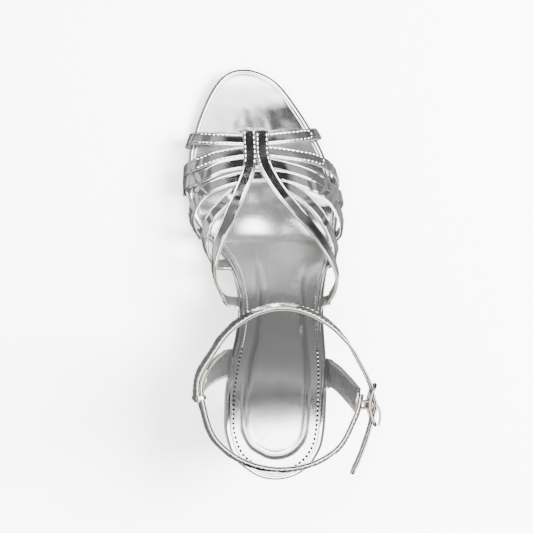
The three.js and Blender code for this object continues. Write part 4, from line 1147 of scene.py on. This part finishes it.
class SandalLooks(bpy.types.PropertyGroup):
    mirror: tint("Mirror leather", "Foil on the straps, the insole's rim and the heel", (0.86, 0.86, 0.855))
    satin: tint("Sock leather", "Foil on the sock", (0.80, 0.80, 0.80))
    cut_edge: tint("Cut edge", "Raw edge of the straps", (0.20, 0.165, 0.12))
    lining: tint("Lining", "Inside of the straps", (0.24, 0.24, 0.24))
    thread: tint("Thread", "Sewing thread", (0.93, 0.93, 0.91))
    sole: tint("Sole leather", "Underside of the shoe", (0.40, 0.29, 0.19))
    rubber: tint("Rubber", "Top piece of the heel", (0.016, 0.016, 0.017))
    metal: tint("Buckle", "Frame and prong", (0.40, 0.39, 0.37))
    floor: tint("Floor", "Studio floor", (0.86, 0.865, 0.862))


class SandalStage(bpy.types.PropertyGroup):
    camera_height: length("Camera height", "Above the floor", 1.0)
    camera_x: length("Camera side", "From the shoe's middle", -0.05224)
    focal: bpy.props.FloatProperty(name="Focal length", description="In millimetres", default=122.8)
    shift: bpy.props.FloatProperty(name="Shift", description="Share of the frame's width", default=0.178)
    dome: bpy.props.FloatProperty(name="Dome light", description="Brightness of the studio dome", default=1.0)
    lamps: bpy.props.FloatProperty(name="Lamps", description="Power of the soft lamps in watts", default=150.0)


class SANDAL_OT_soles(bpy.types.Operator):
    """Make the outsole, the wrapped insole and the padded sock"""

    bl_idname = "sandal.soles"
    bl_label = "Soles"

    def execute(self, context):
        sizes, made = context.scene.sandal_sizes, finishes(context)
        low = INSOLE_THICKNESS
        insole = sole_piece(
            "insole_wrapped",
            [(1.0, low), (0.25, low - 0.1), (0.0, low - 0.5), (0.0, low - 1.2)]
            + [(2.2 * (1 - math.cos(turn)), 2.2 * (1 - math.sin(turn)))
               for turn in np.radians((0, 8, 16, 24, 32, 40, 48, 56, 64, 72, 80, 85, 90))],
            [2.4, 2.8, 3.4, 5.0, 8.0, 12.0], [made["mirror"]], low)
        settle(insole, "mirror_leather", "insole")
        top, bottom = SOCK_TOP, -FIT_GAP + 0.2
        insets = ([3.9, 4.15, 4.3, 4.45, 4.6, 4.75, 4.9, 5.05, 5.3, 5.8, 6.5, 7.3]
                  + [7.9 + 0.4 * k for k in range(20)])
        sock = sole_piece(
            "sock_padded",
            [(3.0, bottom), (2.8, -FIT_GAP), (2.8, top + 0.7), (2.86, top + 0.42), (3.0, top + 0.2),
             (3.24, top + 0.05), (SOCK_EDGE_INSET, top)],
            insets, [made["toe"], made["satin"]], bottom, sock_relief(sizes), SATIN_FRONT_AT)
        paint_groove_shade(sock)
        settle(sock, "satin_leather", "sock")
        edge = INSOLE_THICKNESS + FIT_GAP
        deep = edge + OUTSOLE_THICKNESS
        sole = sole_piece(
            "outsole_leather",
            [(1.6, deep), (0.95, deep - 0.1), (0.6, deep - 0.5), (0.6, edge + 0.4), (0.75, edge + 0.1),
             (1.0, edge)], [2.0, 5.0, 10.0], [made["sole"]], deep)
        cutter = new_object(
            "cutter", [(x, y, z) for x in (-90, 90) for y in (-160, float(y_at(BREAST_AT)) + FIT_GAP)
                       for z in (-50, 160)],
            [(0, 1, 3, 2), (4, 6, 7, 5), (0, 4, 5, 1), (2, 3, 7, 6), (0, 2, 6, 4), (1, 5, 7, 3)], [])
        weld(cutter)
        trim = sole.modifiers.new("Breast", "BOOLEAN")
        trim.operation, trim.object, trim.solver = "DIFFERENCE", cutter, "EXACT"
        apply_modifiers(sole)
        bpy.data.objects.remove(cutter)
        settle(sole, "sole_leather", "outsole")
        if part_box("outsole")[0].z > MM:
            raise RuntimeError("the outsole doesn't reach the floor")
        return {"FINISHED"}


class SANDAL_OT_heel(bpy.types.Operator):
    """Make the covered block heel and its rubber top piece"""

    bl_idname = "sandal.heel"
    bl_label = "Heel"
    HALF = 40
    SEAT_INSET, SEAT_DEPTH = 1.4, INSOLE_THICKNESS + 0.12

    def execute(self, context):
        made = finishes(context)
        half = self.HALF
        ats = (1 - np.cos(np.linspace(0, math.acos(1 - 2 * BREAST_AT), half + 1))) / 2
        seat = []
        for side, edge_of in ((-1, medial_edge), (1, lateral_edge)):
            ring = np.stack([edge_of(ats), y_at(ats)], -1)
            along = unit(np.gradient(ring, axis=0))
            ring += np.stack([along[:, 1], -along[:, 0]], -1) * -side * self.SEAT_INSET
            ring[0] = (edge_of(0.0), y_at(0.0) + self.SEAT_INSET)
            ring[-1] = (edge_of(BREAST_AT) - side * self.SEAT_INSET, y_at(BREAST_AT))
            seat.append(np.column_stack([ring, sole_height(at_y(ring[:, 1]), self.SEAT_DEPTH)]))
        seat = np.vstack([seat[0], seat[1][::-1][:-1]])
        flare = smooth(table("height flare", [(0, 0), (.25, .09), (.5, .235), (.7, .44), (.86, .72), (1, 1)]),
                       "height", "flare")
        low = self.tip(HEEL_TIP_HEIGHT, 0)
        loops = []
        for height in np.linspace(0, 1, 46):
            loop = low + (seat - low) * float(flare(height))
            loop[:, 2] = low[:, 2] + (seat[:, 2] - low[:, 2]) * height
            loops.append(loop)
        heel = self.stack("heel_covered", loops, made["mirror"], 1.1, 4)
        settle(heel, "mirror_leather", "heel")
        # Height and how much slimmer the top piece is there
        rows = ((0.0, 0.5), (0.16, 0.2), (0.5, 0.0), (1.6, 0.0), (3.4, 0.0), (4.8, 0.0), (5.0, 0.15))
        loops = [self.tip(height, shrink) for height, shrink in rows]
        piece = self.stack("heel_top_piece_rubber", loops, made["rubber"], 0.6, 3)
        settle(piece, "top_piece_rubber", "heel_top_piece")
        return {"FINISHED"}

    def tip(self, z, shrink):
        """Points round the heel's foot: down the inner side from the back, up the outer side."""
        turn = np.linspace(0, math.pi / 2, self.HALF + 1)
        depth = (1 - np.cos(turn)) * (HEEL_TIP_DEPTH - 2 * shrink)
        width = (HEEL_TIP_HALF_WIDTH - shrink) * np.sin(turn) ** 0.8
        y = float(y_at(0)) + HEEL_TIP_SETBACK + shrink + depth
        left, right = (np.column_stack([TIP_CENTRE_X + side * width, y, np.full(self.HALF + 1, z)])
                       for side in (-1, 1))
        return np.vstack([left, right[::-1][:-1]])

    def stack(self, name, loops, material, rounding, segments):
        """Closed solid through loops of points, with its edges rounded."""
        count = len(loops[0])
        caps = [(0, 1, count - 1)]
        caps += [(i, i + 1, count - 1 - i, count - i) for i in range(1, self.HALF)]
        top = (len(loops) - 1) * count
        faces = grid_faces(len(loops), count)
        faces += [tuple(reversed(face)) for face in caps] + [tuple(top + i for i in face) for face in caps]
        piece = weld(new_object(name, np.vstack(loops), faces, [material]), 0.01)
        bevel = piece.modifiers.new("Rounding", "BEVEL")
        bevel.width, bevel.segments, bevel.limit_method = rounding * MM, segments, "ANGLE"
        bevel.angle_limit = math.radians(48)
        bevel.harden_normals = False
        apply_modifiers(piece)
        return piece


class SANDAL_OT_front_straps(bpy.types.Operator):
    """Make the crossing front straps and the two arms of the yoke, with their stitches"""

    bl_idname = "sandal.front_straps"
    bl_label = "Front straps"

    def execute(self, context):
        sizes, made = context.scene.sandal_sizes, finishes(context)
        looks = strap_looks(context)
        amount = sizes.ripple / MM
        face = STRAP_THICKNESS - FRONT_STITCH_DEPTH
        lines = []
        for k, rows in enumerate(CROSS_STRAPS + [INNER_SHORT, OUTER_SHORT]):
            section = CUT_EDGE if k < 2 else FOLDED_EDGE
            strip = front_strip(rows, sizes.strap_width / MM, TILTS[k])
            piece = strap_piece("front_strap_%d" % (k + 1), strip, STRAP_THICKNESS, section, looks,
                                wrinkled(k, strip, amount))
            settle(piece, "mirror_leather", *(["vamp_straps"] if k == 0 else []))
            if k < 2:
                inner = (strip.angle > -57) & (strip.angle < -6.5)
                lines += [strip.line(side * STITCH_INSET, face, inner) for side in (-1, 1)]
                lines.append(strip.turned_line(STITCH_INSET, face, 9, (52, 54)[k]))
        for k, (name, rows) in enumerate((("yoke_inner", INNER_ARM), ("yoke_outer", OUTER_ARM))):
            strip = front_strip(rows, sizes.yoke_width / MM)
            piece = strap_piece(name, strip, STRAP_THICKNESS, CUT_EDGE, looks, ripple(k + 7, amount))
            settle(piece, "mirror_leather")
            stem = (strip.at > 0.748) & (strip.at < 0.829)
            lines += [strip.line(side * STITCH_INSET, face, stem) for side in (-1, 1)]
        stitch_line("front_stitches", lines, sizes, made)
        return {"FINISHED"}


class SANDAL_OT_ankle_straps(bpy.types.Operator):
    """Make the back strap with its quarters, the ankle strap, the keeper and their stitches"""

    bl_idname = "sandal.ankle_straps"
    bl_label = "Ankle straps"

    def execute(self, context):
        sizes, made = context.scene.sandal_sizes, finishes(context)
        looks = strap_looks(context)
        amount = sizes.ripple / MM
        face = ANKLE_STRAP_THICKNESS - ANKLE_STITCH_DEPTH
        lines = []

        def level(strip, name, node, seed, end):
            piece = strap_piece(name, strip, ANKLE_STRAP_THICKNESS, BAND_EDGE, looks, ripple(seed, amount * 4))
            settle(piece, "mirror_leather", node)
            inside = (strip.length > end) & (strip.length < strip.length[-1] - end)
            lines.extend(strip.line(side * STITCH_INSET, face, inside) for side in (-1, 1))

        level(band_strip(), "back_band", "back_strap", 11, 4)
        for k, (name, side, base_at, turn) in enumerate((("quarter_inner", -1, 0.268, 275.0),
                                                         ("quarter_outer", 1, 0.246, 99.0))):
            strip = quarter_strip(side, base_at, turn)
            settle(strap_piece(name, strip, STRAP_THICKNESS, BAND_EDGE, looks, ripple(13 + k, amount)),
                   "mirror_leather")
            upper = (strip.length > 8) & (strip.length < strip.length[-1] - 7)
            lines += [strip.line(edge * STITCH_INSET, height, upper) for edge in (-1, 1)
                      for height in (STRAP_THICKNESS - ANKLE_STITCH_DEPTH, LINING_STITCH_HEIGHT)]
        level(ankle_strip(), "ankle_strap_silver", "ankle_strap", 17, 3)
        stitch_line("ankle_stitches", lines, sizes, made, "grey_thread", 0.72)
        self.keeper(looks, amount)
        self.loop(looks)
        return {"FINISHED"}

    def keeper(self, looks, amount):
        """Loop round the ankle strap and the band on the inner side."""
        stack = float(band_setback(KEEPER_TURN))
        corner = ring_point(KEEPER_TURN, stack + FIT_GAP)
        bend = math.radians(KEEPER_TURN)
        radial = np.array([math.sin(bend), math.cos(bend), 0])
        out = radial * math.cos(ANKLE_LEAN) + UP * math.sin(ANKLE_LEAN)
        along = np.array([-radial[1], radial[0], 0])
        rise = np.cross(along, out)
        depth, half = stack + 1.6 * FIT_GAP, ANKLE_STRAP_WIDTH / 2 + 1.5 * FIT_GAP
        round_off = 1.5
        outline, normals = [], []
        far, high = depth - round_off, half - round_off
        for cx, cy, start in ((far, -high, -90), (far, high, 0), (round_off, high, 90),
                              (round_off, -high, 180)):
            for step in range(7):
                a = math.radians(start + 15 * step)
                normal = (math.cos(a), math.sin(a))
                outline.append((cx + round_off * normal[0], cy + round_off * normal[1]))
                normals.append(normal)
        outline, normals = np.array(outline), np.array(normals)
        fine = np.linspace(0, len(outline), 150, endpoint=False)
        index = np.arange(len(outline) + 1)
        wrap = np.vstack([outline, outline[:1]])
        wrap_n = np.vstack([normals, normals[:1]])
        flat = np.column_stack([np.interp(fine, index, wrap[:, k]) for k in (0, 1)])
        face = np.column_stack([np.interp(fine, index, wrap_n[:, k]) for k in (0, 1)])
        centre = corner + flat[:, :1] * out + flat[:, 1:] * rise
        outward = unit(face[:, :1] * out + face[:, 1:] * rise)
        across = np.broadcast_to(along, outward.shape)
        strip = Strip(centre, across, outward, KEEPER_WIDTH)
        piece = strap_piece("keeper_loop", strip, KEEPER_THICKNESS, FOLDED_EDGE, looks,
                            ripple(19, amount * 3), closed=True)
        settle(piece, "mirror_leather", "keeper")

    def loop(self, looks):
        """Leather loop that holds the buckle's middle bar to the band, slotted for the prong."""
        reach = BAR_X - BAND_FACE[0] + ANKLE_STRAP_THICKNESS / 2
        inner = BAR_RADIUS + FIT_GAP
        path, faces_out = [(-reach, -inner)], [(0, -1)]
        for step in range(25):
            a = math.radians(-90 + 7.5 * step)
            path.append((inner * math.cos(a), inner * math.sin(a)))
            faces_out.append((math.cos(a), math.sin(a)))
        path.append((-reach, inner))
        faces_out.append((0, 1))
        path, faces_out = np.array(path), np.array(faces_out)
        for name, low, high in (("buckle_loop_low", -3.75, -1.0), ("buckle_loop_high", 1.0, 3.75)):
            centre = np.column_stack([BAR_X + path[:, 0], BAR_Y + path[:, 1],
                                      np.full(len(path), STRIP_MIDDLE + (low + high) / 2)])
            outward = np.column_stack([faces_out, np.zeros(len(path))])
            across = np.broadcast_to((0, 0, -1.0), outward.shape)
            strip = Strip(centre, across, outward, high - low)
            settle(strap_piece(name, strip, 0.9, FOLDED_EDGE, looks[1:2] + looks[1:]), "mirror_leather")


class SANDAL_OT_buckle(bpy.types.Operator):
    """Make the buckle's frame, middle bar and prong"""

    bl_idname = "sandal.buckle"
    bl_label = "Buckle"

    def execute(self, context):
        metal = [finishes(context)["metal"]]
        corner = 3.0
        cut = corner * (1 - math.sqrt(0.5))
        points = []

        def add(y, z):
            share = min(abs(y - BAR_Y) / (BUCKLE_LENGTH / 2 - BAR_RADIUS), 1) ** 2
            points.append((BAR_X + (END_BAR_X - BAR_X) * share, y, STRIP_MIDDLE + z))

        for rail in (1, -1):
            first, last = (REAR_BAR_Y, FRONT_BAR_Y) if rail > 0 else (FRONT_BAR_Y, REAR_BAR_Y)
            forward = 1 if last > first else -1
            add(first, rail * (RAIL_REACH - corner))
            add(first + forward * cut, rail * (RAIL_REACH - cut))
            add(first + forward * corner, rail * RAIL_REACH)
            add(BAR_Y, rail * RAIL_REACH)
            add(last - forward * corner, rail * RAIL_REACH)
            add(last - forward * cut, rail * (RAIL_REACH - cut))
            add(last, rail * (RAIL_REACH - corner))
        path = centripetal_spline(points, np.linspace(0, 1, 240, endpoint=False), closed=True)
        frame_piece = tube_piece("buckle_frame_metal", path, BAR_RADIUS * 1.05, 20, metal, True, 0.85)
        settle(frame_piece, "buckle_metal", "buckle_frame")
        heights = np.linspace(-RAIL_REACH, RAIL_REACH, 40)
        swell = BAR_RADIUS * (0.86 + 0.14 * (heights / RAIL_REACH) ** 4)
        bar = np.column_stack([np.full(40, BAR_X), np.full(40, BAR_Y), STRIP_MIDDLE + heights])
        settle(tube_piece("buckle_bar_metal", bar, swell, 20, metal), "buckle_metal")
        thick = 1.4
        eye = BAR_RADIUS + FIT_GAP + thick / 2
        turn = np.linspace(0, 2 * math.pi, 60, endpoint=False)
        ring = np.column_stack([BAR_X + eye * np.cos(turn), BAR_Y + eye * np.sin(turn),
                                np.full(60, STRIP_MIDDLE)])
        settle(tube_piece("prong_eye_metal", ring, thick / 2, 14, metal, True), "buckle_metal", "buckle_prong")
        out_x = OVER_BAR_X + ANKLE_STRAP_THICKNESS + FIT_GAP + thick / 2
        tip_x = END_BAR_X + BAR_RADIUS + FIT_GAP + thick / 2
        stem = [(BAR_X + eye, BAR_Y, STRIP_MIDDLE), (out_x - thick, BAR_Y, STRIP_MIDDLE),
                (out_x, BAR_Y - 2, STRIP_MIDDLE),
                ((out_x + tip_x) / 2 + 0.6, (BAR_Y - 2 + REAR_BAR_Y) / 2, STRIP_MIDDLE),
                (tip_x, REAR_BAR_Y - BAR_RADIUS, STRIP_MIDDLE)]
        share = np.linspace(0, 1, 70)
        taper = thick / 2 * np.where(share > 0.93, np.sqrt(np.clip(1 - ((share - 0.93) / 0.071) ** 2, 0.02, 1)), 1)
        taper = taper * (1 - 0.25 * share)
        settle(tube_piece("prong_stem_metal", centripetal_spline(stem, share), taper, 14, metal), "buckle_metal")
        return {"FINISHED"}


class SANDAL_OT_sock_stitches(bpy.types.Operator):
    """Sew the sock's edge from the ball round the heel"""

    bl_idname = "sandal.sock_stitches"
    bl_label = "Sock stitches"

    def execute(self, context):
        sizes, made = context.scene.sandal_sizes, finishes(context)
        line = stitch_ring(sizes.stitch_inset / MM, -0.12)
        at = at_y(line[:, 1])
        heel = at < WAIST_STITCH_AT
        front = np.flatnonzero(~heel)
        turn = int(np.flatnonzero(heel)[0])
        waist = [line[front[front < turn]], line[front[front > turn]]]
        # The heel's needle holes are sunk balls painted near-black as shade, less deep behind the heel
        sunk = line[heel].copy()
        sunk[:, 2] += np.interp(at[heel], (0.06, 0.20), (-0.34, -0.60))
        thread = [line[heel] - (0, 0, 0.05)]
        # Name, lines, finish, pitch, start, length and thickness in millimetres; the holes' finish is near-black
        # painted shade
        for name, lines, finish, *sizes_mm in (("sock_heel_holes", [sunk], "hole", 2.4, 0.1, 1.8, 1.8),
                                               ("sock_heel_thread", thread, "grey_thread", 2.4, 1.2, 1.3, 0.35),
                                               ("sock_waist_thread", waist, "thread", 2.1, 0.8, 0.8, 0.3),
                                               ("sock_waist_holes", waist, "hole", 2.1, 0.1, 0.8, 0.6)):
            stitched(name, lines, made[finish], *(size * MM for size in sizes_mm), "satin_leather")
        return {"FINISHED"}


class SANDAL_OT_stage(bpy.types.Operator):
    """Set the pale floor, the soft studio dome, the lamps and the camera"""

    bl_idname = "sandal.stage"
    bl_label = "Stage"

    def execute(self, context):
        stage, looks = context.scene.sandal_stage, context.scene.sandal_looks
        size, steps = 2400.0, 24
        place = np.linspace(-size, size, steps + 1)
        vertices = [(x, y, 0.0) for y in place for x in place]
        faces = [(r * (steps + 1) + c, r * (steps + 1) + c + 1, (r + 1) * (steps + 1) + c + 1,
                  (r + 1) * (steps + 1) + c) for r in range(steps) for c in range(steps)]
        floor = new_object("studio_floor", vertices, faces, [studio_floor("StudioFloor", looks.floor)],
                           shift=False)
        floor.visible_glossy = False
        self.dome(context, stage)
        self.lamps(context, stage)
        camera_data = bpy.data.cameras.new("Camera")
        camera_data.lens, camera_data.sensor_width = stage.focal, 36.0
        camera_data.shift_x = stage.shift
        camera_data.clip_start, camera_data.clip_end = 0.05, 20
        camera = bpy.data.objects.new("Camera", camera_data)
        camera.location = (stage.camera_x, 0.0, stage.camera_height)
        context.scene.collection.objects.link(camera)
        context.scene.camera = camera
        return {"FINISHED"}

    def dome(self, context, stage):
        """Overhead soft box with a dark gap at its far edge and grey walls round it."""
        world = bpy.data.worlds.new("Studio")
        context.scene.world = world
        f = Finish(world)
        way = f.node("ShaderNodeTexCoord", output="Generated")
        parts = f.make("ShaderNodeSeparateXYZ", {}, {"Vector": way})
        x, y, z = (Wire(f, parts.outputs[k]) for k in "XYZ")
        up = f.maths("MAXIMUM", z, 0.02)
        u, v = f.maths("DIVIDE", x, up), f.maths("DIVIDE", y, up)
        wide = f.maths("ABSOLUTE", u)

        def grey(value):
            return (value, value, value * 1.01, 1.0)

        def spot(direction, near, far):
            length_of = math.sqrt(sum(part * part for part in direction))
            aim = tuple(part / length_of for part in direction)
            facing = f.node("ShaderNodeVectorMath", {"operation": "DOT_PRODUCT"}, {0: way, 1: aim}, "Value")
            return facing.between(math.cos(math.radians(far)), math.cos(math.radians(near)))

        left = f.blend(x.between(-0.85, -0.60), grey(1.0), grey(0.21))
        low = f.blend(y.between(0.1, 0.8), f.blend(x.between(-0.1, 0.7), left, grey(0.5)), grey(0.06))
        low = f.blend(spot((-0.03, -0.5, -0.866), 5.0, 8.0), low, grey(0.02))
        tone = f.blend(z.between(-0.06, 0.12), low, grey(0.24))
        tone = f.blend(z.between(0.30, 0.55), tone, grey(0.30))
        tone = f.blend((1 - v.between(1.3, 1.7)) * z.between(0.3, 0.5), tone, grey(0.60))
        tone = f.blend((1 - v.between(-1.3, -0.9)) * z.between(0.1, 0.3), tone, grey(0.9))
        box = (1 - wide.between(0.72, 0.92)) * (1 - v.between(0.66, 0.71)) * v.between(-1.15, -0.95)
        gap = v.between(0.66, 0.70) * (1 - v.between(1.10, 1.26)) * (1 - wide.between(0.55, 0.95))
        ragged = f.noise(way, 160.0, 4.0, 0.6)
        tone = f.blend(gap, tone, grey(0.035))
        tone = f.blend(box, tone, f.blend((u * u + v * v).between(0.015, 0.22), grey(3.7), grey(11.0)))
        tone = f.blend(spot((0.125, -0.130, 1.0), 4.2, 5.8) * ragged.between(0.30, 0.48), tone, grey(0.085))
        tone = f.blend(spot((0.10, 0.12, 1.0), 7, 11) * 0.9, tone, grey(0.12))
        glow = f.node("ShaderNodeBackground", {}, {"Color": tone, "Strength": stage.dome})
        f.make("ShaderNodeOutputWorld", {}, {"Surface": glow})

    def lamps(self, context, stage):
        """Broad soft lamps that light the floor and the thread, unseen in the mirror leather."""
        for name, place, size, power in (("LampKey", (0.85, 0.15, 1.2), 0.7, 1.15),
                                         ("LampFill", (-0.5, 0.5, 1.9), 1.6, 0.30)):
            data = bpy.data.lights.new(name, "AREA")
            data.shape, data.size, data.energy = "SQUARE", size, stage.lamps * power
            lamp = bpy.data.objects.new(name, data)
            lamp.location = place
            lamp.rotation_euler = Vector(place).to_track_quat("Z", "Y").to_euler()
            lamp.visible_glossy = False
            context.scene.collection.objects.link(lamp)


class SANDAL_PT_panel(bpy.types.Panel):
    bl_idname = "SANDAL_PT_panel"
    bl_label = "Sandal"
    bl_space_type = "VIEW_3D"
    bl_region_type = "UI"
    bl_category = "Sandal"

    def draw(self, context):
        layout = self.layout
        for group in (context.scene.sandal_sizes, context.scene.sandal_looks, context.scene.sandal_stage):
            box = layout.box()
            for name in group.__annotations__:
                box.prop(group, name)
        for operator in OPERATORS:
            layout.operator(operator.bl_idname)


OPERATORS = (SANDAL_OT_soles, SANDAL_OT_heel, SANDAL_OT_front_straps, SANDAL_OT_ankle_straps,
             SANDAL_OT_buckle, SANDAL_OT_sock_stitches, SANDAL_OT_stage)
CLASSES = (SandalSizes, SandalLooks, SandalStage, *OPERATORS, SANDAL_PT_panel)


def register():
    for item in CLASSES:
        bpy.utils.register_class(item)
    bpy.types.Scene.sandal_sizes = bpy.props.PointerProperty(type=SandalSizes)
    bpy.types.Scene.sandal_looks = bpy.props.PointerProperty(type=SandalLooks)
    bpy.types.Scene.sandal_stage = bpy.props.PointerProperty(type=SandalStage)


def unregister():
    del bpy.types.Scene.sandal_stage
    del bpy.types.Scene.sandal_looks
    del bpy.types.Scene.sandal_sizes
    for item in reversed(CLASSES):
        bpy.utils.unregister_class(item)


def main():
    register()
    bpy.ops.sandal.soles()
    bpy.ops.sandal.heel()
    bpy.ops.sandal.front_straps()
    bpy.ops.sandal.ankle_straps()
    bpy.ops.sandal.buckle()
    bpy.ops.sandal.sock_stitches()
    bpy.ops.sandal.stage()


if __name__ == "__main__":
    main()
